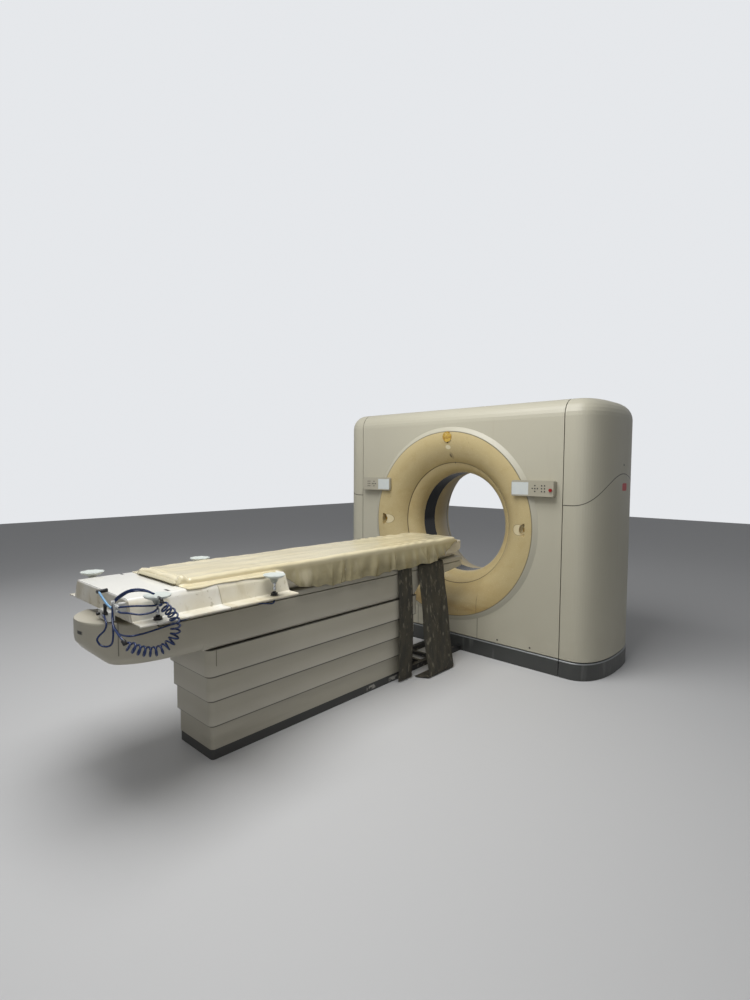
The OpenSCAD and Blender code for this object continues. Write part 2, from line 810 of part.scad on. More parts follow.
panel_r = 14;
screen_z = panel_z + 12;
screen_x = panel_x + 5;
stop_x = panel_x + panel_l - 24;
stop_z = panel_z + 50;
panel_face = front_y - panel_proud;
screen_t = 2.6;
ring_relief_r = ring_r + collar_w + 3;
module control_panel(s, with_stop) {
    difference() {
        translate([s * (panel_x + panel_l / 2), 0, panel_z + panel_h / 2]) {
            along_y(panel_face + 6, front_y) polygon(rounded_box(panel_l / 2, panel_h / 2, 0, panel_r));
            along_y(panel_face, panel_face + 6)
                polygon(rounded_box(panel_l / 2 - 3, panel_h / 2 - 3, 0, panel_r - 3));
        }
        // Relief over the ring and its collar
        about_bore() translate([0, 0, front_y - ring_proud - 3])
            cylinder(r = ring_relief_r, h = 60);
        translate([s > 0 ? screen_x : -screen_x - screen_w, panel_face - e, screen_z])
            cube([screen_w, e + screen_t + 0.4, screen_h]);
        if (with_stop) {
            translate([s * stop_x, panel_face - e, stop_z]) rotate([-90, 0, 0])
                cylinder(r = stop_r + 0.5, h = e + stop_travel + 2);
            translate([s * stop_x, panel_face - e, stop_z]) rotate([-90, 0, 0])
                cylinder(r = 5 + shaft_gap, h = e + 36);
        }
    }
}
module control_panel_left() { color(ivory) control_panel(-1, false); }
module control_panel_right() { color(ivory) control_panel(1, true); }

module panel_screens() {
    color([0.72, 0.76, 0.78]) for (s = [-1, 1])
        translate([s > 0 ? screen_x + 0.4 : -screen_x - screen_w + 0.4, panel_face + 0.4,
            screen_z + 0.4]) cube([screen_w - 0.8, screen_t, screen_h - 0.8]);
}

key_t = 1.5;
module panel_keys() {
    key = 9;
    color(near_black) for (s = [-1, 1]) {
        for (i = [0 : 2], k = [0 : 2]) if (i == 1 || k == 1)
            translate([s * (panel_x + 170 + 20 * i) - key / 2, panel_face - key_t, panel_z + 34 + 21 * k])
                cube([key, key_t, key]);
        for (i = [0 : 1], k = [0 : 2])
            translate([s * (panel_x + 242 + 22 * i) - key / 2, panel_face - key_t, panel_z + 34 + 21 * k])
                cube([key, key_t, key]);
    }
}

module stop_button() {
    color([0.55, 0.10, 0.12]) translate([stop_x, panel_face, stop_z]) rotate([-90, 0, 0]) {
        translate([0, 0, -9]) cylinder(r = stop_r, h = 10);
        translate([0, 0, 0]) cylinder(r = 5, h = 30);
    }
}

module laser_windows() {
    lens_z = iso_h + ring_crest_r;
    crest_y = front_y - ring_proud;
    color([0.80, 0.62, 0.25]) translate([0, crest_y - 3.3, lens_z]) rotate([-90, 0, 0])
        cylinder(r = 44, h = 3);
    color(near_black) for (s = [-1, 1])
        translate([s * (pocket_x - 18) - 10, pocket_y + pocket_depth - 6.4, iso_h - 14])
            cube([20, 6, 28]);
}

// Couch pedestal

pedestal_end = pedestal_y + pedestal_half_l;
// Lower and upper edge of each shroud, from the lowest
shroud_low = [couch_plinth_h, 182, 318, 450];
shroud_high = [200, 335, 468, housing_z - seat_gap];
module shroud(k) {
    w = pedestal_half_w + k * shroud_step;
    l = pedestal_half_l + k * shroud_step;
    r = shroud_corner_r + k * shroud_step / 3;
    t = shroud_wall;
    color(greige) union() {
        translate([0, 0, shroud_low[k]]) linear_extrude(shroud_high[k] - shroud_low[k]) difference() {
            polygon(rounded_box(w, l, pedestal_y, r));
            polygon(rounded_box(w - t, l - t, pedestal_y, r - t));
        }
        // Each shroud has a wiper that slides on the next one below it
        if (k > 0) translate([0, 0, shroud_low[k] + 10]) linear_extrude(6) difference() {
            polygon(rounded_box(w - t / 2, l - t / 2, pedestal_y, r - t / 2));
            polygon(rounded_box(w - shroud_step + seat_gap, l - shroud_step + seat_gap, pedestal_y,
                r - shroud_step / 3 + seat_gap));
        }
        // The lowest shroud has a rim that stands on the plinth
        if (k == 0) translate([0, 0, shroud_low[k]]) linear_extrude(t) difference() {
            polygon(rounded_box(w - t / 2, l - t / 2, pedestal_y, r - t / 2));
            polygon(rounded_box(w - 12, l - 12, pedestal_y, r - 12));
        }
        // The uppermost shroud has a ledge that carries the housing
        if (k == 3) translate([0, 0, shroud_high[k] - t]) linear_extrude(t) difference() {
            polygon(rounded_box(w - t / 2, l - t / 2, pedestal_y, r - t / 2));
            polygon(rounded_box(w - 40, l - 40, pedestal_y, r));
        }
    }
}
module shroud_4() { shroud(0); }
module shroud_3() { shroud(1); }
module shroud_2() { shroud(2); }
module shroud_1() { shroud(3); }

rail_x = 112;
rail_w = 34;
rail_h = 40;
couch_floor_t = 12;
couch_anchor_y = 620;
module couch_plinth() {
    w = pedestal_half_w - 4;
    l = pedestal_half_l - 3;
    color(near_black) difference() {
        linear_extrude(couch_plinth_h) difference() {
            polygon(rounded_box(w, l, pedestal_y, shroud_corner_r - 3));
            polygon(rounded_box(w - 10, l - 10, pedestal_y, shroud_corner_r - 13));
        }
        for (s = [-1, 1]) translate([s * (rail_x + rail_w / 2) - rail_w / 2 - 0.4, pedestal_end - 30, -e])
            cube([rail_w + 0.8, 60, rail_h + 1.4]);
    }
}

// Floor plate in the pedestal, with the rails and cross bars that tie it to the gantry
module couch_base_frame() {
    gantry_end = front_y - plinth_proud - seat_gap;
    w = pedestal_half_w - 14.6;
    l = pedestal_half_l - 13.6;
    roller_y = -1018;
    color([0.20, 0.20, 0.21]) difference() {
        union() {
            linear_extrude(couch_floor_t) polygon(rounded_box(w, l, pedestal_y, shroud_corner_r - 13.6));
            for (s = [-1, 1]) translate([s > 0 ? rail_x : -rail_x - rail_w, pedestal_end - 100, 0])
                cube([rail_w, gantry_end - pedestal_end + 100, rail_h]);
            for (y = [-930, -790]) translate([-rail_x - e, y, 8]) cube([2 * (rail_x + e), 26, 24]);
            // Levelling roller and its bracket
            translate([-rail_x - e, roller_y - 6, 10]) cube([2 * (rail_x + e), 12, 16]);
            translate([72, roller_y, 28]) rotate([0, 90, 0]) cylinder(r = 26, h = 38);
        }
        for (s = [-1, 1], y = [-couch_anchor_y, couch_anchor_y])
            translate([s * 100, pedestal_y + y, -e]) cylinder(r = 7, h = couch_floor_t + 2 * e);
    }
}

// Telescopic lift columns: three square tubes nested with a running gap
column_y = [-480, 480];
column_w = 160;
column_t = 8;
column_gap = 0.5;
column_low = [couch_floor_t, couch_floor_t + 13 + lift_travel / 2, couch_floor_t + 38 + lift_travel];
column_high = [housing_z - lift_travel - 18, housing_z - lift_travel / 2 - 11, housing_z];
module column(k) {
    w = column_w - 2 * k * (column_t + column_gap);
    color(steel) for (y = column_y) translate([0, pedestal_y + y, column_low[k]])
        linear_extrude(column_high[k] - column_low[k]) difference() {
            square([w, w], center = true);
            square([w - 2 * column_t, w - 2 * column_t], center = true);
        }
}
module lift_column_outer() { column(0); }
module lift_column_middle() { column(1); }
module lift_column_inner() { column(2); }

// Couch top

// Half width, underside, top and corner radius of the housing at y
nose_y = -3010;
nose_l = nose_y - foot_y;
nose_top = deck_z + 1;
nose_under = 565;
taper_y = pedestal_end + 10;
function blend(a, b, t) = a + (b - a) * max(0, min(1, t));
function housing_w(y) =
    y < nose_y ? housing_half_w * pow(max(0.0001, 1 - pow((nose_y - y) / nose_l, 2.6)), 1 / 2.6)
    : housing_half_w;
function housing_under(y) =
    y < nose_y ? nose_top - (nose_top - nose_under) * pow(max(0.0001,
        1 - pow((nose_y + 30 - y) / (nose_l + 30), 2.3)), 1 / 2.3)
    : y < -2780 ? nose_under
    : y < taper_y ? housing_z
    : y < taper_y + 60 ? blend(housing_z, 652, (y - taper_y) / 60)
    : blend(652, 718, (y - taper_y - 60) / (head_y - taper_y - 60));
function housing_top(y) = y < nose_y + 1 ? nose_top : deck_gap_z;
function housing_corner(y) =
    y < -2780 ? min(70, 0.45 * (housing_top(y) - housing_under(y)), 0.6 * housing_w(y)) : 22;
function housing_ring(y) =
    let (w = housing_w(y), z0 = housing_under(y), z1 = housing_top(y), r = housing_corner(y),
         s = min(14, 0.3 * w, 0.25 * (z1 - z0)),
         half = concat(arc(w - r, z0 + r, r, -90, 0, 5),
             y < nose_y + 1 ? arc(w - s, z1 - s, s, 0, 90, 3) : [for (i = [0 : 3]) [w - i * 0.1, z1 - 3 + i]]))
    [for (p = concat(half, mirrored(half))) [p[0], y, p[1]]];
housing_stations = concat(
    [for (i = [0 : 9]) foot_y + nose_l * (1 - cos(9 * i)) + (i == 0 ? 2 : 0)],
    [nose_y, nose_y + 1.5, -2782, -2779, taper_y],
    [for (i = [1 : 3]) taper_y + 20 * i], [-880, head_y]);
module couch_housing() {
    cavity_y = -2740;
    cavity_end = -1150;
    color(greige) difference() {
        loft([for (y = housing_stations) housing_ring(y)]);
        translate([-housing_half_w + 12, cavity_y, housing_z + 10])
            cube([2 * (housing_half_w - 12), cavity_end - cavity_y, 200]);
    }
}

slide_rail_x = 122;
slide_rail_w = 28;
slide_rail_h = 12;
stop_block_w = 30;
stop_block_l = 30;
stop_block_y = head_y - 237;
module couch_deck() {
    foot = nose_y + 4;
    keel_w = housing_half_w - 22;
    color(greige) {
        along_y(foot, head_y) polygon([[-keel_w, deck_gap_z], [keel_w, deck_gap_z],
            [keel_w, deck_gap_z + 6], [housing_half_w, deck_gap_z + 6], [housing_half_w, deck_z - 5],
            [housing_half_w - 5, deck_z], [-housing_half_w + 5, deck_z], [-housing_half_w, deck_z - 5],
            [-housing_half_w, deck_gap_z + 6], [-keel_w, deck_gap_z + 6]]);
        for (s = [-1, 1]) translate([s > 0 ? slide_rail_x : -slide_rail_x - slide_rail_w, foot + 40,
            deck_z]) cube([slide_rail_w, head_y - foot - 60, slide_rail_h]);
        // End stop in the tabletop's groove
        translate([-stop_block_w / 2, stop_block_y, deck_z]) cube([stop_block_w, stop_block_l, 11]);
    }
}

// Cloth straps that hang over the near side of the couch to the floor
strap_t = 5;
strap_top_z = deck_z + 0.4;
module strap(y0, y1, path, z_end) {
    inner = path;
    outer = [for (i = [len(path) - 1 : -1 : 0]) [path[i][0] + strap_t, path[i][1] + (i < 2 ? strap_t : 0)]];
    translate([0, (y0 + y1) / 2, 0]) rotate([90, 0, 0]) linear_extrude(y1 - y0, center = true)
        polygon(concat(inner, outer));
}
module straps() {
    edge = housing_half_w + 1.5;
    color([0.24, 0.22, 0.20]) {
        strap(narrow_strap_y, narrow_strap_y + narrow_strap_w, [[edge - 40, strap_top_z],
            [edge + 1, strap_top_z], [edge + 6, 0.96 * deck_z], [edge + 16, 0.7 * deck_z],
            [edge + 20, 0.15 * deck_z], [edge + 14, 4]]);
        strap(wide_strap_y, wide_strap_y + wide_strap_w, [[edge - 40, strap_top_z],
            [edge + 1, strap_top_z], [edge + 10, 0.95 * deck_z], [edge + 50, 0.6 * deck_z],
            [edge + 92, 0.2 * deck_z], [edge + 122, 4]]);
        // Tail of the wide strap folded back on the floor
        translate([edge + 10, wide_strap_y - 30, 0.4]) cube([112, wide_strap_w + 22, 8]);
    }
}

// Tabletop

// Section of the tabletop in (x, z): a box beam with sloping lower sides and a keel between
// the deck's rails
module pallet() {
    w = pallet_half_w;
    under = deck_z + slide_rail_h + 0.3;
    keel = slide_rail_x - 0.3;
    half = [[keel, deck_z + 3], [keel, under], [w - 36, under], [w - 6, under + 34], [w, under + 60],
        [w, pallet_z - 6], [w - 6, pallet_z]];
    // Two soft ramps at the head end
    color(ivory) difference() {
        along_y(pallet_foot_y, pallet_head_y) polygon(concat(half, mirrored(half)));
        translate([-w - e, pallet_head_y - 160, under - 20]) rotate([24, 0, 0])
            translate([0, 0, -120]) cube([2 * (w + e), 240, 120]);
        // Groove whose length sets the travel
        translate([-stop_block_w / 2 - 1, stop_block_y - table_travel - 0.5, deck_z])
            cube([stop_block_w + 2, table_travel + stop_block_l + 1, 13]);
    }
}

mattress_head_y = -632;
mattress_foot_y = -2930;
module mattress() {
    w = pallet_half_w - 4;
    color(cream) difference() {
        translate([0, 0, pallet_z + 0.4]) linear_extrude(mattress_t)
            polygon(rounded_box(w, (mattress_head_y - mattress_foot_y) / 2,
                (mattress_head_y + mattress_foot_y) / 2, 30));
        // Its foot end lies on the adapter tray
        translate([-w - e, mattress_foot_y - e, pallet_z - e])
            cube([2 * (w + e), tray_y + tray_l + 3 - mattress_foot_y + e, tray_z + 0.4 - pallet_z + e]);
    }
}

// Vinyl sheet over the mattress; its sides hang past the tabletop towards the head end
vinyl_t = 4;
hang_y = -2240;
hem_z = 800;
module vinyl_cover() {
    z = pallet_z + 0.4 + mattress_t + 0.4;
    w = pallet_half_w + 16;
    foot = -2950;
    head = -622;
    color(cream) {
        translate([-w - vinyl_t, foot, z]) cube([2 * (w + vinyl_t), head - foot, vinyl_t]);
        for (s = [-1, 1]) translate([s > 0 ? w : -w - vinyl_t, hang_y, hem_z])
            cube([vinyl_t, head - hang_y, z - hem_z + e]);
    }
}

// Folded sheet tray clamped over the tabletop's foot end
tray_y = -3180;
tray_z = 937.4;
flange_z = 846;
tray_side_drop = 20;
pad_ys = [tray_y + 97, tray_y + tray_l - 202];
function tray_half(d) = [
    [tray_half_w, flange_z - d], [tray_half_w - 78 - d * 0.7, flange_z - d],
    [tray_top_half_w + 8 - d * 0.7, tray_z - tray_side_drop - d * 0.6], [tray_top_half_w - 8 - d * 0.4, tray_z - d]];
module adapter_tray() {
    outer = concat(tray_half(0), mirrored(tray_half(0)));
    inner = concat(tray_half(tray_t), mirrored(tray_half(tray_t)));
    low = tray_half_w - 78;
    color([0.90, 0.89, 0.85]) {
        difference() {
            along_y(tray_y, tray_y + tray_l) polygon(concat(outer, [for (i = [len(inner) - 1 : -1 : 0]) inner[i]]));
            // Slots in the top plate
            for (y = [-3090, -2960]) translate([-250 + (y + 3090) * 3.5, y, tray_z - 20]) cube([46, 12, 30]);
            for (x = [-pad_x, pad_x], y = pad_ys) translate([x, y, flange_z - 20]) cylinder(r = 6.1, h = 40);
        }
        // Foot end plate
        along_y(tray_y, tray_y + tray_t) polygon([[-low + 8, flange_z - tray_t + 1], [low - 8, flange_z - tray_t + 1],
            [tray_top_half_w - 12, tray_z - tray_t + 1], [-tray_top_half_w + 12, tray_z - tray_t + 1]]);
        // Saddle blocks that seat the tray on the tabletop
        for (y = [-3060, -2700, -2340]) translate([-pallet_half_w - 0.4 - 40, y, pallet_z - 50])
            for (s = [0, 1]) translate([s * (2 * pallet_half_w + 0.8 + 40), 0, 0]) cube([40, 40, 50 + 0.6]);
    }
}

module tray_pads() {
    color([0.80, 0.82, 0.78]) for (x = [-pad_x, pad_x], y = pad_ys) translate([x, y, 0]) {
        translate([0, 0, flange_z - tray_t - 22]) cylinder(r = 6, h = 113);
        translate([0, 0, flange_z + 0.2]) cylinder(r = 16, h = 14, $fn = 6);
        translate([0, 0, flange_z - tray_t - 16]) cylinder(r = 16, h = 15.8, $fn = 6);
        translate([0, 0, 922]) cylinder(r1 = 22, r2 = pad_r, h = 19);
        translate([0, 0, 941]) cylinder(r = pad_r, h = 12);
        // Connector of the curly hose
        if (x > 0 && y == pad_ys[0]) {
            translate([48, -27, 943]) cube([32, 16, 8]);
            translate([79, -19, 941.2]) cylinder(r = 12, h = 11.8);
        }
    }
}

// Air hoses

// Point and direction of a smooth curve through the route's points
function spline_point(p, i, t) =
    let (n = len(p) - 1, a = p[max(i - 1, 0)], b = p[i], c = p[min(i + 1, n)], d = p[min(i + 2, n)])
    0.5 * (2 * b + (c - a) * t + (2 * a - 5 * b + 4 * c - d) * t * t + (3 * b - a - 3 * c + d) * t * t * t);
function smooth(p, k) = concat(
    [for (i = [0 : len(p) - 2], j = [0 : k - 1]) spline_point(p, i, j / k)], [p[len(p) - 1]]);
function unit(v) = v / norm(v);
module tube_along(route, r, sides) {
    n = len(route) - 1;
    // Across the plane that the hoses hang in
    up = [0.80, -0.60, 0.05];
    rings = [for (i = [0 : n])
        let (t = unit(route[min(i + 1, n)] - route[max(i - 1, 0)]), a = unit(cross(up, t)), b = cross(a, t))
        [for (k = [0 : sides - 1]) let (q = 360 * k / sides) route[i] + r * (a * cos(q) + b * sin(q))]];
    loft(rings);
}

hose_r = 4;
coil_r = 20;
coil_route = [[446, -3102, 938.8], [446, -3101, 931], [444, -3088, 912], [440, -3060, 885], [436, -3043, 852], [435, -3039, 817],
    [435, -3044, 784], [435, -3062, 758], [435, -3093, 740], [435, -3127, 736], [435, -3160, 742],
    [420, -3193, 755], [372, -3200, 757], [313, -3200, 757]];
runs = [
    // From the head-side pad under the flange, up the end plate and over to the foot-side pad
    [[367, -2477, 818.2], [367, -2478, 813], [366, -2492, 806], [360, -2547, 816], [360, -2646, 835], [360, -2756, 836],
        [360, -2860, 829], [360, -2933, 824], [360, -2999, 812], [372, -3083, 807], [386, -3150, 806],
        [388, -3205, 807], [335, -3222, 803], [295, -3222, 807], [255, -3222, 829], [247, -3222, 870],
        [250, -3221, 913], [267, -3210, 936], [294, -3200, 955], [318, -3185, 972], [339, -3165, 978],
        [348, -3140, 976], [358, -3118, 970], [366, -3096, 958]],
    [[290.4, -3222, 914], [304, -3220.5, 914.5], [320, -3205, 916], [348, -3170, 917], [386, -3124, 916], [390, -3106, 915],
        [374, -3090, 914]],
    [[290.4, -3222, 897], [330, -3224, 896], [366, -3208, 898], [394, -3170, 890], [408, -3128, 893],
        [398, -3100, 900], [375, -3088, 901]],
    // Loop in front of the rounded foot end
    [[140, -3209.2, 850], [142, -3217, 851], [158, -3228, 854], [194, -3236, 856], [240, -3245, 834],
        [230, -3250, 806], [213, -3264, 784], [212, -3273, 768], [216, -3263, 745], [238, -3246, 736], [274, -3218, 749], [292, -3205, 755], [312.4, -3201, 757]]
];
module hose_coil() {
    color([0.08, 0.12, 0.25]) tube_along(smooth(coil_route, 2), coil_r, 10);
}
module hose_runs() {
    color([0.08, 0.12, 0.25]) for (r = runs) tube_along(smooth(r, 2), hose_r, 8);
}

// Valve block and hose connector on the tray's foot end plate
module hose_manifold() {
    color([0.82, 0.82, 0.80]) {
        translate([50, tray_y - 28, 820]) cube([113, 28, 40]);
        translate([262, tray_y - 48, 888]) cube([27.6, 48, 34]);
    }
}

gantry_base_frame();
tilt_gearbox();
front_plinth();
rear_skirt();
plinth_left();
plinth_right();
side_cover_left_lower();
side_cover_left_upper();
side_cover_right_lower();
side_cover_right_upper();
side_liners();
front_cover();
lower_front_panel();
front_ring();
front_ring_lower();
front_bore_liner();
scan_window();
rear_bore_liner();
rear_ring();
rear_cover();
tilt_frame();
bearing_outer_race();
brush_block();
control_panel_left();
control_panel_right();
panel_screens();
panel_keys();
stop_button();
laser_windows();
drive_motor();
drive_belt();
motor_pulley();
rotor_drum();
bearing_inner_race();
xray_tube();
beam_collimator();
detector_arc();
hv_generator();
tube_cooler();
slip_ring();
couch_base_frame();
couch_plinth();
shroud_4();
shroud_3();
shroud_2();
shroud_1();
couch_housing();
couch_deck();
lift_column_outer();
lift_column_middle();
lift_column_inner();
straps();
pallet();
mattress();
vinyl_cover();
adapter_tray();
tray_pads();
hose_manifold();
hose_coil();
hose_runs();
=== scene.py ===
# %% [markdown]
# # A wide-bore tomography scanner
# The scanner is a tilting ring gantry and a lifting couch. The frame that is loaded here
# already holds every rigid part at its real place and size, in metres. This lesson adds what
# a rigid model can't show: cloth, hoses, fine fittings, and a finish for each surface.

import bmesh
import bpy
import numpy as np
from mathutils import Matrix


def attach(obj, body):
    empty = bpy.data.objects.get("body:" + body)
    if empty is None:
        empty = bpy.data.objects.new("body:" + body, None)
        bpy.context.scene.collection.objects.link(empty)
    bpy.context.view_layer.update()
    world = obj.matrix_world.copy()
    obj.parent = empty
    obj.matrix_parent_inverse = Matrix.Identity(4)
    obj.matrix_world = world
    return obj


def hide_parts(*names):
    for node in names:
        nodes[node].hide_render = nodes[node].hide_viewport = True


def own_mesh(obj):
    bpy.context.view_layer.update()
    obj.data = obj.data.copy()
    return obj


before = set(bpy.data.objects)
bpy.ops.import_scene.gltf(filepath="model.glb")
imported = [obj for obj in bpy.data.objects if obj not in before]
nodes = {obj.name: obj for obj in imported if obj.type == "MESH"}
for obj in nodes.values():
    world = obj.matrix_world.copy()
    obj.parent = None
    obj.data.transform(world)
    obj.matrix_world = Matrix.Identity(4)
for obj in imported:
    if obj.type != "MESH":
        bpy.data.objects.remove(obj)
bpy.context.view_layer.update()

# %% [markdown]
# ## Camera
# The photograph was taken from the couch's foot, standing, with a wide phone lens. The lens
# and the stand come from a fit of the camera to the scanner's straight edges, so the view is
# built from three angles: how far it turns, dips and rolls.

# %% Camera
eye = np.array([2.558, -4.104, 1.491])
turn, dip, roll = np.radians([42.64, 3.35, 0.31])
forward = np.array([-np.sin(turn) * np.cos(dip), np.cos(turn) * np.cos(dip), -np.sin(dip)])
level = np.array([np.cos(turn), np.sin(turn), 0.0])
above = np.cross(level, forward)
camera_x = np.cos(roll) * level + np.sin(roll) * above
camera_y = np.cos(roll) * above - np.sin(roll) * level

camera = bpy.data.objects.new("camera", bpy.data.cameras.new("camera"))
camera.data.sensor_fit = "VERTICAL"
camera.data.sensor_width = 27
camera.data.sensor_height = 36
camera.data.lens = 19.21
pose = np.eye(4)
pose[:3, :4] = np.column_stack([camera_x, camera_y, -forward, eye])
camera.matrix_world = Matrix(pose.tolist())
bpy.context.scene.collection.objects.link(camera)
bpy.context.scene.camera = camera
print("camera at", eye, "with a lens of", round(camera.data.lens, 2), "mm")

# %% [markdown]
# ## Surfaces from arrays
# Almost every new piece is a grid of points: one direction runs along it and the other
# across or round it. Working the whole grid out as one array keeps each formula in one place.
# The helper turns grids into one mesh, and welds the poles and seams where lines meet.

# %% Grid helper
def surface(name, grids, body, finish, wall=0.0, smooth=True):
    """Quads over each grid of points (rows, columns, 3). A sheet has a wall and stays open. Any
    other grid closes round, from its last column to its first."""
    places, quads, marks, start = [], [], [], 0
    for grid in grids if isinstance(grids, list) else [grids]:
        grid = np.asarray(grid, float)
        rows, cols = grid.shape[:2]
        i = np.arange(rows - 1)[:, None]
        j = np.arange(cols - 1 if wall else cols)[None, :]
        i2, j2 = i + 1, (j + 1) % cols
        quads.append(start + np.stack([i * cols + j, i2 * cols + j, i2 * cols + j2, i * cols + j2],
                                      -1).reshape(-1, 4))
        places.append(grid.reshape(-1, 3))
        u, v = np.meshgrid(np.linspace(0, 1, rows), np.linspace(0, 1, cols), indexing="ij")
        marks.append(np.stack([u, v], -1).reshape(-1, 2))
        start += rows * cols
    places, quads, marks = np.concatenate(places), np.concatenate(quads), np.concatenate(marks)
    mesh = bpy.data.meshes.new(name)
    mesh.vertices.add(len(places))
    mesh.vertices.foreach_set("co", places.ravel())
    mesh.loops.add(quads.size)
    mesh.loops.foreach_set("vertex_index", quads.ravel())
    mesh.polygons.add(len(quads))
    mesh.polygons.foreach_set("loop_start", np.arange(0, quads.size, 4))
    mesh.update(calc_edges=True)
    layer = mesh.uv_layers.new(name="UVMap")
    layer.data.foreach_set("uv", marks[quads.ravel()].ravel())
    work = bmesh.new()
    work.from_mesh(mesh)
    bmesh.ops.remove_doubles(work, verts=work.verts, dist=1e-6)
    bmesh.ops.dissolve_degenerate(work, edges=work.edges, dist=1e-7)
    bmesh.ops.recalc_face_normals(work, faces=work.faces)
    work.to_mesh(mesh)
    work.free()
    mesh.polygons.foreach_set("use_smooth", np.full(len(mesh.polygons), smooth))
    mesh.materials.append(finish.material)
    piece = bpy.data.objects.new(name, mesh)
    bpy.context.scene.collection.objects.link(piece)
    if wall:
        shell = piece.modifiers.new("wall", "SOLIDIFY")
        shell.thickness = wall
        shell.offset = 0
    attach(piece, body)
    return piece


def bell(x, centre, width):
    """A smooth bump of height one."""
    return np.exp(-(((x - centre) / width) ** 2))


def ease(x, low, high):
    """0 below low, 1 above high, and an even S between."""
    t = np.clip((x - low) / (high - low), 0, 1)
    return t * t * (3 - 2 * t)


def unit(v):
    """Vectors of length one."""
    return v / np.linalg.norm(v, axis=-1, keepdims=True)


def spline(points, step):
    """A smooth curve through the points (Catmull-Rom), with a point about every step metres."""
    p = np.asarray(points, float)
    p = np.vstack([2 * p[0] - p[1], p, 2 * p[-1] - p[-2]])
    t = np.linspace(0, 1, 40, endpoint=False)[:, None]
    parts = [0.5 * (2 * b + (c - a) * t + (2 * a - 5 * b + 4 * c - d) * t**2
                    + (3 * b - a - 3 * c + d) * t**3)
             for a, b, c, d in zip(p[:-3], p[1:-2], p[2:-1], p[3:])]
    fine = np.vstack(parts + [p[-2:-1]])
    run = np.concatenate([[0], np.cumsum(np.linalg.norm(np.diff(fine, axis=0), axis=1))])
    even = np.linspace(0, run[-1], max(3, int(run[-1] / step)))
    return np.column_stack([np.interp(even, run, fine[:, k]) for k in range(fine.shape[1])])


def length_of(path):
    """Length of a line through points."""
    return float(np.linalg.norm(np.diff(path, axis=0), axis=1).sum())


def closed(rings):
    """Rings with a point at each end, in the middle of the first ring and of the last."""
    ends = [np.repeat(rings[k].mean(0)[None, None], rings.shape[1], 1) for k in (0, -1)]
    return np.concatenate([ends[0], rings, ends[1]])


def tube(path, radius, across, sides=10):
    """A round tube: circles in the plane across the path, and a point at each end."""
    ahead = unit(np.gradient(path, axis=0))
    a = unit(np.cross(across, ahead))
    b = np.cross(ahead, a)
    turn = np.linspace(0, 2 * np.pi, sides, endpoint=False)[None, :, None]
    radius = np.broadcast_to(radius, len(path))[:, None, None]
    rings = path[:, None] + radius * (a[:, None] * np.cos(turn) + b[:, None] * np.sin(turn))
    return closed(rings)


def turned(profile, centre, axis=(0, 0, 1), sides=48):
    """A turned part: a profile of (radius, height) points spun about an axis."""
    axis = np.asarray(axis, float)
    side = unit(np.cross(axis, [0.0, 1.0, 0.0] if abs(axis[1]) < 0.9 else [1.0, 0.0, 0.0]))
    other = np.cross(axis, side)
    profile = np.asarray(profile, float)
    q = np.linspace(0, 2 * np.pi, sides, endpoint=False)[None, :, None]
    r, h = profile[:, 0, None, None], profile[:, 1, None, None]
    return np.asarray(centre) + r * (side * np.cos(q) + other * np.sin(q)) + h * axis


# %% [markdown]
# ## Shader sums as formulas
# A finish is a formula over the surface, such as "a little darker where the cloud is low".
# This small class wraps a socket, so that such a formula can be written with plus and times,
# and adds the Math nodes by itself.

# %% Socket class
class Value:
    """A number that varies over a surface."""

    def __init__(self, tree, socket):
        self.tree, self.socket = tree, socket

    def maths(self, operation, a, b=0.0, clamp=False):
        """Adds one Math node on two values or numbers."""
        step = self.tree.nodes.new("ShaderNodeMath")
        step.operation = operation
        step.use_clamp = clamp
        for plug, v in zip(step.inputs, (a, b)):
            if isinstance(v, Value):
                self.tree.links.new(v.socket, plug)
            else:
                plug.default_value = v
        return Value(self.tree, step.outputs[0])

    def __add__(self, other):
        return self.maths("ADD", self, other)

    def __sub__(self, other):
        return self.maths("SUBTRACT", self, other)

    def __rsub__(self, other):
        return self.maths("SUBTRACT", other, self)

    def __mul__(self, other):
        return self.maths("MULTIPLY", self, other)

    def __truediv__(self, other):
        return self.maths("DIVIDE", self, other)

    def __pow__(self, other):
        return self.maths("POWER", self, other)

    __radd__ = __add__
    __rmul__ = __mul__

    def wave(self):
        """Sine of the value."""
        return self.maths("SINE", self)

    def size(self):
        """The value without its sign."""
        return self.maths("ABSOLUTE", self)

    def between(self, low, high):
        """0 at low, 1 at high, and straight between them. It falls where low is the higher."""
        return self.maths("ADD", (self - low) / (high - low), 0.0, clamp=True)


def srgb(red, green, blue):
    """A colour as a picture shows it (0 to 255), in the linear numbers that a shader takes."""
    c = np.array([red, green, blue]) / 255
    return (*np.where(c < 0.04045, c / 12.92, ((c + 0.055) / 1.055) ** 2.4), 1.0)


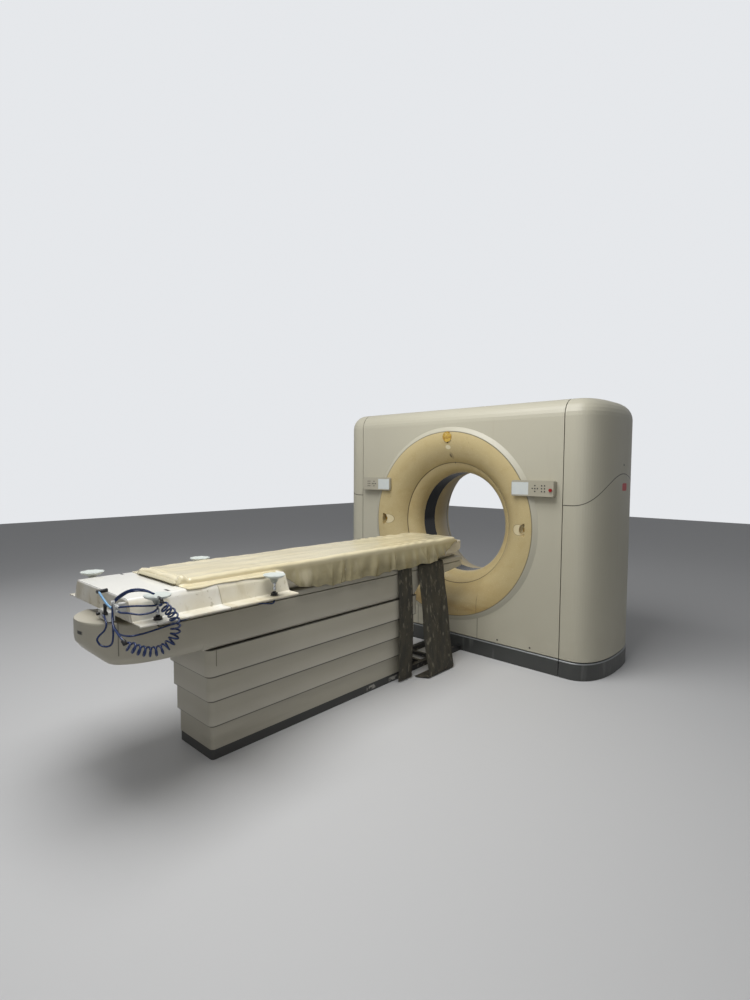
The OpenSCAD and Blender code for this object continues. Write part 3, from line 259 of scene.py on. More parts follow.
class Finish:
    """A material under construction: its shader, and the nodes that feed it."""

    def __init__(self, name, colour, roughness, **fixed):
        self.material = bpy.data.materials.new(name)
        self.material.use_nodes = True
        self.tree = self.material.node_tree
        self.shader = self.tree.nodes["Principled BSDF"]
        self.colour = colour
        self.set("Base Color", colour)
        self.set("Roughness", roughness)
        for plug, value in fixed.items():
            self.set(plug.replace("_", " "), value)
        self.place = self.node("ShaderNodeTexCoord", out="Object")
        self.axes = self.node("ShaderNodeSeparateXYZ", inputs={0: self.place}, out=None)
        self.x, self.y, self.z = (Value(self.tree, s) for s in self.axes.outputs)

    def node(self, kind, settings=(), inputs=(), out=0):
        """Adds a node of a kind, with its settings first and then its sockets' values or links."""
        made = self.tree.nodes.new(kind)
        for key, value in dict(settings).items():
            setattr(made, key, value)
        for key, value in dict(inputs).items():
            if isinstance(value, Value):
                self.tree.links.new(value.socket, made.inputs[key])
            else:
                made.inputs[key].default_value = value
        return made if out is None else Value(self.tree, made.outputs[out])

    def set(self, plug, value):
        """Gives one of the shader's sockets a value or a link."""
        if isinstance(value, Value):
            self.tree.links.new(value.socket, self.shader.inputs[plug])
        else:
            self.shader.inputs[plug].default_value = value

    def cloud(self, scale, detail=3.0, stretch=None, distort=0.0):
        """Noise from 0 to 1, scale bumps to the metre; stretch squeezes it along an axis."""
        where = self.place
        if stretch:
            where = self.node("ShaderNodeMapping", (), {"Vector": self.place, "Scale": stretch})
        return self.node("ShaderNodeTexNoise", (), {
            "Vector": where, "Scale": scale, "Detail": detail, "Distortion": distort})

    def front(self):
        """1 on the front half of the gantry and 0 behind its tilt axis."""
        return self.y.between(0.01, -0.01)

    def spot(self, x, z, wide, high=None):
        """1 inside an oval (half sizes in metres) on the gantry's front, 0 outside it."""
        a, b = (self.x - x) / wide, (self.z - z) / (high or wide)
        return (a * a + b * b).between(1.25, 0.8) * self.front()

    def line(self, distance, half):
        """1 on a line and 0 beside it; distance is the signed distance from its middle."""
        return distance.size().between(half, 0.55 * half)

    def mix(self, mask, a, b):
        """Colour a where the mask is 0 and b where it is 1."""
        return self.node("ShaderNodeMix", {"data_type": "RGBA"}, {0: mask, 6: a, 7: b}, out=2)

    def stain(self, mask, colour):
        """Lays a colour over the finish where the mask says."""
        self.colour = self.mix(mask, self.colour, colour)
        self.set("Base Color", self.colour)

    def bump(self, height, distance, strength=1.0):
        """Raises the surface by the height, times the distance in metres."""
        made = self.node("ShaderNodeBump", (), {"Height": height, "Distance": distance,
                                                "Strength": strength}, out=None)
        if getattr(self, "normal", None):
            self.tree.links.new(self.normal, made.inputs["Normal"])
        self.normal = made.outputs[0]
        self.tree.links.new(self.normal, self.shader.inputs["Normal"])


# %% [markdown]
# ## Moulded covers and rings
# The covers are painted moulded shells: nearly smooth, with a fine grain, a slow change of
# tone, and grime near the floor. The rings are a bare plastic that has yellowed with age and
# carries brown stains where fluids ran to the bottom of the bore.

# %% Cover, ring and plinth finishes
def moulded(name, colour, shade, roughness=0.42, grain=0.00012):
    """A moulded plastic or painted shell with slow clouds, a fine grain and soft wear."""
    f = Finish(name, colour, roughness)
    f.stain(f.cloud(0.9, 4).between(0.38, 0.72) * 0.5, shade)
    f.bump(f.cloud(420, 2), grain)
    f.set("Roughness", f.cloud(7, 3) * 0.16 + (roughness - 0.08))
    return f


AXIS_Z, RING_R, BORE_SEAM_R = 1.038, 0.7613, 0.510
SIDE_SEAM_X, LOWER_PANEL_X, RIGHT_SIDE_X = 0.981, 0.300, 1.0
# The S-shaped seam's middle height and half rise, and its start and length round the corner
SEAM_Z, SEAM_RISE, SEAM_START, SEAM_RUN = 1.3517, 0.112, 0.430, 0.455
SCREW_Z, POCKET_X, PLINTH_BEVEL_Z = 0.158, 0.650, 0.121


def from_axis(f):
    """Distance of the surface from the bore's axis."""
    rise = f.z - AXIS_Z
    return (f.x * f.x + rise * rise) ** 0.5


cover = moulded("cover_shell", srgb(186, 182, 164), srgb(175, 170, 151))
cover.stain(cover.z.between(0.40, 0.10) * cover.cloud(5, 4).between(0.35, 0.65) * 0.4,
            srgb(164, 157, 138))
cover.stain(cover.cloud(2.2, 5, (9, 9, 0.6)).between(0.62, 0.74) * 0.16, srgb(172, 163, 142))
cover.stain(cover.cloud(90, 3).between(0.72, 0.77) * 0.25, srgb(150, 142, 122))
# Dust and shadow sit in the seams: round the ring, beside the side covers, along the S-shaped
# seam of each side cover, and at the two ends of the lower panel
seam_dark = srgb(52, 50, 45)
cover.stain(cover.line(from_axis(cover) - RING_R - 0.0015, 0.003) * 0.7, srgb(96, 92, 80))
cover.stain(cover.line(cover.x.size() - SIDE_SEAM_X, 0.0035) * 0.85, seam_dark)
diagonal = ((cover.x.size() + cover.y) * 0.7071 - SEAM_START) / SEAM_RUN
s_curve = (diagonal.maths("MAXIMUM", diagonal, 0.0) * np.pi + np.pi / 2).wave()
s_seam = cover.z - (SEAM_Z - SEAM_RISE * s_curve)
cover.stain(cover.line(s_seam, 0.0042) * cover.x.size().between(0.978, 0.982) * 0.9, seam_dark)
panel_end = cover.line(cover.x.size() - LOWER_PANEL_X, 0.0032) * cover.z.between(0.30, 0.295)
cover.stain(panel_end * cover.y.between(-0.38, -0.40) * 0.8, seam_dark)
for screw_x in (0.483, 0.756):
    for side_x in (-screw_x, screw_x):
        cover.stain(cover.spot(side_x, SCREW_Z, 0.0075), srgb(60, 58, 54))
# A plain red patch on the right side cover, and a small dark mark above it
right_side = cover.x.between(RIGHT_SIDE_X, RIGHT_SIDE_X + 0.01)
patch = cover.line(cover.y - 0.038, 0.060) * cover.line(cover.z - 1.3665, 0.034)
cover.stain(patch.between(0.3, 0.5) * right_side, srgb(186, 44, 44))
mark = cover.line(cover.y - 0.012, 0.016) * cover.line(cover.z - 1.528, 0.009)
cover.stain(mark * right_side * 0.8, srgb(70, 68, 64))

ring = moulded("yellowed_ring", srgb(194, 177, 132), srgb(182, 162, 114), roughness=0.34)
low = ring.z.between(0.62, 0.36)
ring.stain(low * ring.cloud(2.6, 4, (0.6, 1, 2.2)).between(0.36, 0.60) * 0.8, srgb(172, 142, 84))
ring.stain(ring.z.between(0.46, 0.33) * ring.cloud(7, 5, (0.5, 1, 2)).between(0.50, 0.62) * 0.7,
           srgb(138, 106, 56))
ring.stain(ring.cloud(1.6, 5).between(0.55, 0.75) * 0.45, srgb(192, 168, 116))
ring.stain(ring.cloud(11, 5).between(0.52, 0.70) * 0.3, srgb(176, 152, 102))
ring.stain(ring.cloud(150, 3).between(0.56, 0.70) * 0.35, srgb(178, 156, 108))
ring.stain(ring.cloud(130, 2).between(0.60, 0.72) * 0.3, srgb(226, 214, 178))
ring.stain(ring.cloud(60, 3).between(0.69, 0.75) * 0.5, srgb(140, 112, 66))
# Painted shade and dust in the seams round the ring, at the bore liner and at the panel's ends
ring.stain(ring.line(from_axis(ring) - RING_R + 0.001, 0.0025) * 0.7, srgb(110, 98, 70))
ring.stain(ring.line(from_axis(ring) - BORE_SEAM_R, 0.0032) * 0.85, srgb(78, 66, 44))
panel_end = ring.line(ring.x.size() - LOWER_PANEL_X, 0.0026) * ring.z.between(0.5, 0.45)
ring.stain(panel_end * ring.front() * 0.7, srgb(96, 82, 56))
# Marks under the lens on the middle line: pale patch, dark oval, two small holes in painted shade
ring.stain(ring.spot(0.0, 1.673, 0.024, 0.017) * 0.8, srgb(230, 222, 194))
ring.stain(ring.spot(0.0, 1.711, 0.007), srgb(60, 52, 38))
ring.stain(ring.spot(0.010, 1.605, 0.017, 0.026) * 0.6, srgb(150, 132, 96))
ring.stain(ring.spot(0.0, 1.603, 0.009, 0.014) * 0.8, srgb(96, 82, 56))
ring.stain(ring.spot(0.0, 1.546, 0.006), srgb(70, 60, 42))
# The light pockets: a pale dished oval with a soft dark border round each half-moon opening
# The pale oval paints a dish that the ring doesn't have; its dark border is painted shadow
a, b = (ring.x.size() - POCKET_X) / 0.055, (ring.z - AXIS_Z) / 0.041
dish = a * a + b * b
ring.stain(dish.between(1.08, 0.90) * ring.front() * 0.55, srgb(232, 222, 188))
ring.stain(ring.line(dish - 1.0, 0.17) * ring.front() * 0.55, srgb(128, 110, 74))

slate = moulded("plinth_slate", srgb(63, 64, 61), srgb(60, 62, 62), roughness=0.32, grain=0.0001)
# A painted highlight along the bevel of the plinth's top edge
slate.stain(slate.line(slate.z - PLINTH_BEVEL_Z, 0.006) * 0.6, srgb(150, 153, 154))
scuff = slate.cloud(14, 5, (1, 1, 0.15)).between(0.60, 0.72)
slate.stain(scuff * 0.35, srgb(126, 127, 124))

band = Finish("scan_window_film", srgb(20, 20, 22), 0.18)
band.set("Roughness", band.cloud(9, 3) * 0.2 + 0.1)
band.bump(band.cloud(26, 2), 0.0003)

# %% [markdown]
# ## Metal, rubber and small plastics
# The parts inside the gantry are painted castings and machined steel. They are seen only when
# a cover is taken off, but get the fine tool marks and the tarnish that such parts have.

# %% Metals
def darker(colour, share):
    """A colour with only a share of its light."""
    return (*(share * np.array(colour[:3])), 1.0)


def painted(name, colour, roughness=0.45):
    """A painted casting, cloudy and slightly rough."""
    f = Finish(name, colour, roughness)
    f.stain(f.cloud(3, 4).between(0.5, 0.8) * 0.3, darker(colour, 0.6))
    f.bump(f.cloud(260, 3), 0.0001)
    return f


def machined(name, colour, roughness=0.3):
    """Bare metal with fine turned lines and a slow tarnish."""
    f = Finish(name, colour, roughness, Metallic=1.0)
    lines = f.cloud(30, 3, (1, 40, 1))
    f.set("Roughness", lines * 0.2 + f.cloud(4, 3) * 0.2 + (roughness - 0.2))
    f.stain(f.cloud(5, 4).between(0.5, 0.75) * 0.35, darker(colour, 0.55))
    f.bump(lines, 0.00006)
    return f


frame_paint = painted("frame_paint", srgb(118, 122, 128))
steel = machined("machined_steel", srgb(176, 178, 182))
copper = machined("slip_copper", srgb(190, 128, 84), 0.28)
belt = Finish("belt_rubber", srgb(32, 32, 33), 0.8)
belt.bump(belt.cloud(500, 2), 0.0002)
floor_frame = painted("floor_frame_black", srgb(44, 44, 43), 0.4)
floor_frame.stain(floor_frame.cloud(22, 5).between(0.58, 0.66) * 0.6, srgb(150, 146, 136))
panel = moulded("panel_shell", srgb(168, 163, 145), srgb(178, 172, 158), 0.4)
# The screens' pale colour paints the glow of a lit display
screen = Finish("screen_glass", srgb(206, 211, 208), 0.14)
screen.stain(screen.cloud(30, 2).between(0.45, 0.7) * 0.2, srgb(188, 198, 206))
keys = Finish("key_rubber", srgb(52, 52, 54), 0.55)
keys.bump(keys.cloud(900, 2), 0.0001)
red_cap = Finish("stop_red", srgb(150, 24, 26), 0.28)
red_cap.set("Roughness", red_cap.cloud(80, 2) * 0.2 + 0.2)
amber = Finish("amber_lens", srgb(192, 160, 74), 0.16)
amber.stain(amber.cloud(26, 5, distort=1.5).between(0.42, 0.60) * 0.8, srgb(142, 102, 44))
# Pale flecks painted on the lens as highlights
amber.stain(amber.cloud(44, 3).between(0.60, 0.68) * 0.7, srgb(228, 208, 158))

# %% [markdown]
# ## Couch finishes
# The couch's shrouds have a warm grey textured paint, a painted highlight above each lower edge
# and painted shadow and dust below it. The adapter tray is white enamel, dusty on its slopes.
# Hoses and fittings have plain colours, because they are too thin to show more than their gloss.

# %% Couch finishes
shroud_paint = moulded("couch_paint", srgb(178, 173, 157), srgb(166, 160, 143), 0.42, 0.00016)
# Shadow and dust where each shroud overlaps the next, and two upright joints in the shells
# Below each edge the shadow is painted, and above it a painted highlight
for edge, shadow in ((0.182, 0.008), (0.318, 0.008), (0.450, 0.008), (0.588, 0.003)):
    shroud_paint.stain(shroud_paint.line(shroud_paint.z - edge + 0.5 * shadow, shadow) * 0.9,
                       srgb(52, 49, 42))
    shroud_paint.stain((shroud_paint.z - edge).between(0.07, -0.01)
                       * shroud_paint.z.between(edge, edge + 0.003) * 0.35, srgb(212, 208, 196))
for joint_y, low_z, high_z in ((-3.172, 0.66, 0.83), (-2.716, 0.50, 0.585)):
    upright = shroud_paint.line(shroud_paint.y - joint_y, 0.0028)
    upright = upright * shroud_paint.z.between(low_z, low_z + 0.004)
    shroud_paint.stain(upright * shroud_paint.z.between(high_z, high_z - 0.004) * 0.8,
                       srgb(84, 80, 70))
# The nose's slot is painted dark, as the shade inside it
nose_slot_shade = shroud_paint.line(shroud_paint.x - 0.032, 0.026)
nose_slot_shade = nose_slot_shade * shroud_paint.line(shroud_paint.z - 0.762, 0.010)
shroud_paint.stain(nose_slot_shade * shroud_paint.y.between(-3.15, -3.20), srgb(40, 38, 34))
shroud_paint.stain(shroud_paint.cloud(3, 5, (1, 0.35, 3)).between(0.60, 0.72) * 0.25,
                   srgb(136, 128, 110))
# The plinth's paint is gone in two places
couch_dark = painted("couch_plinth_black", srgb(62, 62, 60), 0.5)
for patch_y, half_l in ((-1.536, 0.049), (-1.309, 0.054)):
    bare = couch_dark.line(couch_dark.y - patch_y, half_l)
    bare = bare * couch_dark.line(couch_dark.z - 0.024, 0.016)
    couch_dark.stain(bare * couch_dark.cloud(40, 4).between(0.40, 0.52), srgb(176, 173, 164))
laminate = moulded("tabletop_laminate", srgb(214, 206, 186), srgb(200, 190, 166), 0.3)
enamel = Finish("tray_enamel", srgb(238, 236, 228), 0.14)
TRAY_CREASE_Y = -2.755
slope = enamel.z.between(0.934, 0.925)
enamel.stain(slope * enamel.cloud(5, 5).between(0.30, 0.58) * 0.60, srgb(204, 193, 162))
enamel.stain(slope * enamel.cloud(9, 5, (1, 1.6, 0.4)).between(0.52, 0.66) * 0.5,
             srgb(176, 162, 124))
enamel.stain(enamel.cloud(34, 4).between(0.64, 0.72) * slope * 0.5, srgb(150, 138, 106))
enamel.stain(enamel.cloud(16, 4).between(0.66, 0.70) * 0.3, srgb(186, 178, 156))
enamel.stain(slope * enamel.y.between(TRAY_CREASE_Y - 0.001, TRAY_CREASE_Y + 0.003) * 0.4,
             srgb(212, 200, 164))
enamel.stain(enamel.line(enamel.y - TRAY_CREASE_Y, 0.0026) * slope * 0.7, srgb(150, 138, 104))
# Two slots painted dark, as the shade inside them
for slot_x, slot_y in ((-0.270, -2.975), (0.247, -2.983)):
    tray_slot_shade = enamel.line(enamel.x - slot_x, 0.026) * enamel.line(enamel.y - slot_y, 0.009)
    enamel.stain(tray_slot_shade * enamel.z.between(0.930, 0.934), srgb(58, 56, 50))
enamel.set("Roughness", enamel.cloud(6, 3) * 0.12 + slope * 0.25 + 0.1)

navy = Finish("hose_navy", srgb(20, 42, 88), 0.2)
navy.set("Roughness", navy.cloud(60, 2) * 0.2 + 0.14)
black_fitting = Finish("fitting_black", srgb(26, 26, 28), 0.4)
black_fitting.bump(black_fitting.cloud(400, 2), 0.0001)
white_block = moulded("block_white", srgb(216, 216, 212), srgb(198, 198, 192), 0.35)
pale_blue = Finish("tube_pale_blue", srgb(122, 168, 206), 0.3)
pale_blue.stain(pale_blue.cloud(60, 2).between(0.5, 0.7) * 0.3, srgb(96, 140, 182))
clear_fitting = Finish("fitting_clear", srgb(226, 228, 224), 0.18, Transmission_Weight=0.25)
clear_fitting.bump(clear_fitting.cloud(300, 2), 0.0001)
chrome = machined("stem_chrome", srgb(188, 190, 192), 0.26)

# %% [markdown]
# ## Finishes for the frame's parts
# The rigid parts keep their meshes, and only their material slots change. A table with one
# finish to several names says at a glance what is made of what.

# %% Dress the frame's parts
dress = {
    cover: "side_cover_left_lower side_cover_left_upper side_cover_right_lower "
           "side_cover_right_upper side_liners front_cover lower_front_panel rear_cover",
    ring: "front_ring front_ring_lower front_bore_liner rear_bore_liner rear_ring",
    slate: "front_plinth rear_skirt plinth_left plinth_right",
    band: "scan_window",
    frame_paint: "gantry_base_frame tilt_frame brush_block beam_collimator detector_arc "
                 "hv_generator tube_cooler",
    steel: "tilt_gearbox bearing_outer_race drive_motor motor_pulley rotor_drum "
           "bearing_inner_race xray_tube lift_column_outer lift_column_middle lift_column_inner",
    copper: "slip_ring",
    belt: "drive_belt",
    panel: "control_panel_left control_panel_right",
    screen: "panel_screens",
    keys: "panel_keys",
    red_cap: "stop_button",
    amber: "laser_windows",
    floor_frame: "couch_base_frame",
    couch_dark: "couch_plinth",
    shroud_paint: "shroud_4 shroud_3 shroud_2 shroud_1 couch_housing couch_deck",
    laminate: "pallet",
    enamel: "adapter_tray",
    white_block: "hose_manifold",
}
for finish, names in dress.items():
    for name in names.split():
        slots = nodes[name].data.materials
        slots.clear()
        slots.append(finish.material)
print("dressed", sum(len(n.split()) for n in dress.values()), "frame parts")

# %% [markdown]
# ## Couch housing
# The housing under the tabletop is one long moulded shell. Its foot end is round in plan and
# stands nearly upright, and its underside slopes up to a blunt edge. Each station along the
# couch has a closed section: two rounded lower corners, and two smaller ones at the top.

# %% Couch housing
HOUSING_HALF, NOSE_Y, NOSE_TIP, HOUSING_HEAD = 0.204, -3.010, -3.284, -0.523
NOSE_TOP, DECK_GAP, OVAL_POWER, BELLY_HEAD = 0.801, 0.762, 2.25, -1.118
# The underside's line, as (y, z)
UNDER = np.array([(-3.290, 0.722), (-3.270, 0.700), (-3.250, 0.676), (-3.223, 0.646),
                  (-3.196, 0.621), (-3.170, 0.612), (-3.089, 0.603), (-3.014, 0.597),
                  (-2.952, 0.592), (-2.780, 0.588), (BELLY_HEAD, 0.588), (-1.098, 0.609),
                  (-1.058, 0.652), (-0.523, 0.718)])


def housing_points():
    """Sections along the couch: each is a box with rounded corners, as wide as the plan there.
    The foot end's plan is an oval, |x/half width|^2.25 + |y/length|^2.25 = 1."""
    run = 1 - np.cos(np.linspace(0, np.pi / 2, 48))
    ys = np.concatenate([NOSE_TIP + (NOSE_Y - NOSE_TIP) * run, [-3.0085, -2.90, -2.781, -2.779],
                         np.linspace(BELLY_HEAD, -1.058, 5), [HOUSING_HEAD]])
    q = np.linspace(0, np.pi / 2, 8)
    rings = []
    for y in ys:
        foot = y < NOSE_Y + 0.001
        share = np.clip((NOSE_Y - y) / (NOSE_Y - NOSE_TIP), 0, 0.9996)
        w = HOUSING_HALF * (1 - share**OVAL_POWER) ** (1 / OVAL_POWER)
        z0 = np.interp(y, *UNDER.T)
        z1 = NOSE_TOP + 0.012 * ease(-y, 3.128, 3.190) if foot else DECK_GAP
        r = min(0.045, 0.6 * w) if y < -2.780 else 0.022
        t = min(0.013, 0.3 * w) if foot else 0.001
        lower = np.column_stack([w - r + r * np.sin(q), z0 + r - r * np.cos(q)])
        upper = np.column_stack([w - t + t * np.cos(q), z1 - t + t * np.sin(q)])
        half = np.vstack([lower, upper])
        ring = np.vstack([half, half[::-1] * [-1, 1]])
        rings.append(np.column_stack([ring[:, 0], np.full(len(ring), y), ring[:, 1]]))
    return closed(np.stack(rings))


housing = surface("couch_housing_shell", housing_points(), "couch_top", shroud_paint)
housing.data.set_sharp_from_angle(angle=np.radians(40))
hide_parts("couch_housing")

# %% [markdown]
# ## Adapter tray
# The tray is one enamelled sheet, bent lengthwise: a flat top, a slope down at each side, and
# a flange with a turned-down lip. Its bends are round, as a press brake leaves them, and a
# plate closes the foot end.

# %% Adapter tray
TRAY_FOOT, TRAY_HEAD, TRAY_WALL = -3.180, -2.352, 0.004
# The end plate's half width and height, at its foot and at its top
PLATE_LOW_X, PLATE_TOP_X, PLATE_LOW_Z, PLATE_TOP_Z = 0.327, 0.286, 0.8425, 0.934


def bent(points, radius, steps=6):
    """A line through the points with each corner rounded: (1-t)^2 a + 2t(1-t) b + t^2 c."""
    points = np.asarray(points, float)
    line = [points[0]]
    for a, b, c in zip(points[:-2], points[1:-1], points[2:]):
        start = b + unit(a - b) * min(radius, 0.45 * np.linalg.norm(a - b))
        end = b + unit(c - b) * min(radius, 0.45 * np.linalg.norm(c - b))
        t = np.linspace(0, 1, steps)[:, None]
        line.extend((1 - t) ** 2 * start + 2 * t * (1 - t) * b + t**2 * end)
    return np.array(line + [points[-1]])


half_line = np.array([(0.410, 0.8368), (0.410, 0.844), (0.334, 0.844), (0.303, 0.9155),
                      (0.286, 0.9353), (0.0, 0.9353)])
whole_line = bent(np.vstack([half_line, half_line[-2::-1] * [-1, 1]]), 0.006)
tray_y = np.concatenate([[TRAY_FOOT + 0.002],
                         np.linspace(TRAY_FOOT + 0.004, TRAY_HEAD - 0.004, 60),
                         [TRAY_HEAD - 0.002]])[:, None]
sheet_x, sheet_z = whole_line[None, :, 0], whole_line[None, :, 1]
dents = 0.0005 * np.sin(14 * tray_y) * np.sin(40 * sheet_x)
sheet = np.stack([sheet_x + 0 * tray_y, tray_y + 0 * sheet_x, sheet_z + dents], -1)
rise = np.linspace(0, 1, 12)[:, None]
across_end = np.linspace(-1, 1, 40)[None, :]
end_plate = np.stack([across_end * (PLATE_LOW_X + (PLATE_TOP_X - PLATE_LOW_X) * rise),
                      TRAY_FOOT + 0.003 + 0 * rise * across_end,
                      PLATE_LOW_Z + (PLATE_TOP_Z - PLATE_LOW_Z) * rise + 0 * across_end], -1)
tray = surface("adapter_tray_sheet", [sheet, end_plate], "tabletop", enamel,
               wall=TRAY_WALL)
tray.data.set_sharp_from_angle(angle=np.radians(40))
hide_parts("adapter_tray")

# %% [markdown]
# ## Hoses
# Thin air hoses run from the valve block on the tray's end plate to the levelling pads. One
# of them is curly: a tube wound round a straight line and then hung in an arc by its ends, so
# its turns open where it bends. It is a helix whose axis is a smooth curve.

# %% Hoses
# Routes are written in millimetres. Every hose's circles are laid out across one direction,
# which no hose runs along
MM = 0.001
HOSE_R = 0.0043
across = np.array([0.80, -0.60, 0.05])
coil_route = MM * np.array([
    [446, -3102, 938.8], [446, -3101, 931], [444, -3088, 912], [440, -3060, 885],
    [436, -3043, 852], [435, -3039, 817], [435, -3044, 784], [435, -3062, 758],
    [435, -3093, 740], [435, -3127, 736], [432, -3160, 742], [430, -3193, 756],
    [428, -3224, 776], [424, -3245, 794]])
hose_routes = {
    "hose_under_flange": [
        [367, -2477, 818.2], [367, -2478, 813], [366, -2492, 806], [360, -2547, 816],
        [360, -2646, 835], [360, -2756, 836], [360, -2860, 829], [360, -2933, 824],
        [360, -2999, 812], [372, -3083, 807], [386, -3150, 806], [388, -3205, 807],
        [335, -3222, 803], [295, -3222, 807], [255, -3222, 829], [247, -3222, 870],
        [250, -3221, 913], [267, -3210, 936], [294, -3200, 955], [318, -3185, 972],
        [339, -3165, 978], [348, -3140, 976], [358, -3118, 970], [366, -3096, 958]],
    "hose_pad_upper": [
        [309, -3221, 914], [324, -3203, 916], [348, -3170, 917], [386, -3124, 916],
        [390, -3106, 915], [374, -3090, 914]],
    "hose_pad_lower": [
        [309, -3223, 897], [334, -3222, 896], [366, -3208, 898], [394, -3170, 890],
        [408, -3128, 893], [398, -3100, 900], [375, -3088, 901]],
    "hose_loop": [
        [140, -3209.2, 850], [142, -3217, 851], [158, -3228, 854], [194, -3236, 856],
        [240, -3245, 834], [230, -3250, 806], [213, -3264, 784], [212, -3273, 768],
        [216, -3263, 745], [238, -3246, 738], [262, -3234, 752], [272, -3231, 785],
        [268, -3229, 830], [259, -3226, 872], [254, -3225, 900]],
    "hose_from_coil": [
        [420, -3247, 799], [400, -3250, 812], [368, -3250, 822], [325, -3248, 838],
        [287, -3238, 862], [270, -3231, 888], [262, -3226, 914], [264, -3216, 938],
        [286, -3205, 958], [312, -3190, 975], [333, -3168, 984], [346, -3142, 982],
        [355, -3118, 972], [360, -3098, 958]],
}
for name, route in hose_routes.items():
    path = spline(MM * np.array(route), 0.006)
    hose = surface(name, tube(path, HOSE_R, across), "tabletop", navy)
    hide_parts("hose_runs")
    print(name, round(length_of(path), 3), "m")

# The curly hose: axis + radius (side cos a + up sin a), and at its two ends the radius is 0
COIL_R, TURNS, HOSE_SIDES = 0.018, 18, 8
axis = spline(coil_route, 0.0009)
ahead = unit(np.gradient(axis, axis=0))
side = unit(np.cross(across, ahead))
up = np.cross(ahead, side)
run = np.linspace(0, 1, len(axis))[:, None]
angle = 2 * np.pi * TURNS * run
swell = COIL_R * ease(np.minimum(run, 1 - run), 0.0, 0.045)
out = side * np.cos(angle) + up * np.sin(angle)
curl = axis + swell * out
print("curly hose", round(length_of(curl), 2), "m in", TURNS, "turns,", len(curl), "points")
ahead = unit(np.gradient(curl, axis=0))
out = unit(out - (out * ahead).sum(1, keepdims=True) * ahead)
over = np.cross(ahead, out)
q = np.linspace(0, 2 * np.pi, HOSE_SIDES, endpoint=False)[None, :, None]
rings = curl[:, None] + HOSE_R * (out[:, None] * np.cos(q) + over[:, None] * np.sin(q))
coil = surface("curly_hose", closed(rings), "tabletop", navy)
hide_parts("hose_coil")

# %% [markdown]
# ## Valve fittings
# Small fittings stand in front of the tray's end plate: a pale blue tube between two black
# elbows, a black plate on the valve block, two clear nozzles where the pads' hoses start, and
# the black coupling in which the curly hose ends.

# %% Fittings
def rod(start, stop, radius, sides=14):
    """A straight round bar with flat ends and small bevels, in millimetres."""
    start, stop = MM * np.array(start, float), MM * np.array(stop, float)
    length = float(np.linalg.norm(stop - start))
    radius = MM * radius
    edge = 0.12 * radius
    profile = [(0, 0), (radius - edge, 0), (radius, edge), (radius, length - edge),
               (radius - edge, length), (0, length)]
    return turned(profile, start, unit(stop - start), sides)


blue_path = spline(MM * np.array([[104, -3222, 944], [140, -3229, 941], [186, -3231, 924],
                                  [222, -3229, 908], [244, -3224, 899]]), 0.004)
surface("valve_tube", tube(blue_path, 0.0048, across, 12), "tabletop", pale_blue)
surface("valve_elbows", [rod([88, -3180.5, 944], [88, -3226, 944], 9),
                         rod([84, -3222, 944], [106, -3222, 944], 7),
                         rod([157, -3208.5, 858], [157, -3224.5, 858], 8),
                         rod([157, -3218, 852], [157, -3218, 902], 7),
                         rod([157, -3218, 897], [186, -3214, 897], 6),
                         rod([66, -3208.5, 840], [66, -3222, 840], 7)],
        "tabletop", black_fitting)
# The plate: its outline twice, 1.6 mm apart, and closed by a point in the middle of each face
plate = [[(x, -3209.6 - 1.6 * k, z) for x, z in ((104, 830), (128, 830), (128, 852), (104, 852))]
         for k in (0, 0, 1, 1)]
plate = MM * np.array(plate)
plate[0], plate[3] = plate[0].mean(0), plate[3].mean(0)
surface("valve_plate", plate, "tabletop", black_fitting, smooth=False)
surface("valve_nozzles", [rod([289.7, -3222, 914], [311, -3220.5, 914], 7.5),
                          rod([289.7, -3222, 897], [311, -3222.5, 897], 7.5),
                          rod([270, -3228.1, 922.2], [270, -3228.1, 936], 8)],
        "tabletop", clear_fitting)
surface("coil_coupling", [rod([426, -3243, 788], [414, -3249, 806], 9.5),
                          rod([446, -3102, 936], [446, -3102, 942.5], 9)],
        "tabletop", black_fitting)

# %% [markdown]
# ## Vinyl cover
# A loose sheet of glossy vinyl lies over the mattress. It is tucked in on the tray, and from
# there to the head end its sides hang down past the tabletop in gathered folds. The section
# across the couch is one line: flat on top, a tight bend over the mattress's edge, then a
# straight drop. The folds grow with the depth of the drop, as they do in a hung cloth.

# %% Vinyl cover
vinyl = Finish("vinyl_sheet", srgb(230, 219, 184), 0.22, Coat_Weight=0.35, Coat_Roughness=0.12)
vinyl.stain(vinyl.cloud(4, 5, (1, 0.5, 1)).between(0.42, 0.68) * 0.5, srgb(216, 202, 160))
vinyl.stain(vinyl.cloud(24, 4, (1, 0.4, 1)).between(0.62, 0.72) * 0.3, srgb(186, 168, 122))
# Painted shade on the hanging sides: darker below the top's edge and in patches lower down,
# with painted highlights on the folds
vinyl.stain(vinyl.z.between(0.956, 0.925) * vinyl.y.between(-2.42, -2.32) * 0.75,
            srgb(166, 154, 114))
vinyl.stain(vinyl.z.between(0.93, 0.84) * vinyl.cloud(6, 4).between(0.30, 0.55) * 0.72,
            srgb(122, 113, 82))
vinyl.stain(vinyl.cloud(9, 4, (1, 1, 0.3)).between(0.60, 0.70) * vinyl.z.between(0.93, 0.90) * 0.5,
            srgb(222, 212, 180))
vinyl.bump(vinyl.cloud(11, 5, (1.8, 0.5, 1), 0.6), 0.006, 0.6)
vinyl.bump(vinyl.cloud(700, 2), 0.00008)

# The sheet's two ends, and the stretch where its sides hang
SHEET_FOOT, SHEET_HEAD, HANG_FROM, HANG_TO = -2.930, -0.622, -2.36, -0.66
SHEET_TOP, SHEET_HALF, BEND = 0.9655, 0.222, 0.016
TRAY_TOP, SPREAD, FOOT_ROUND = 0.9392, 0.296, 0.020


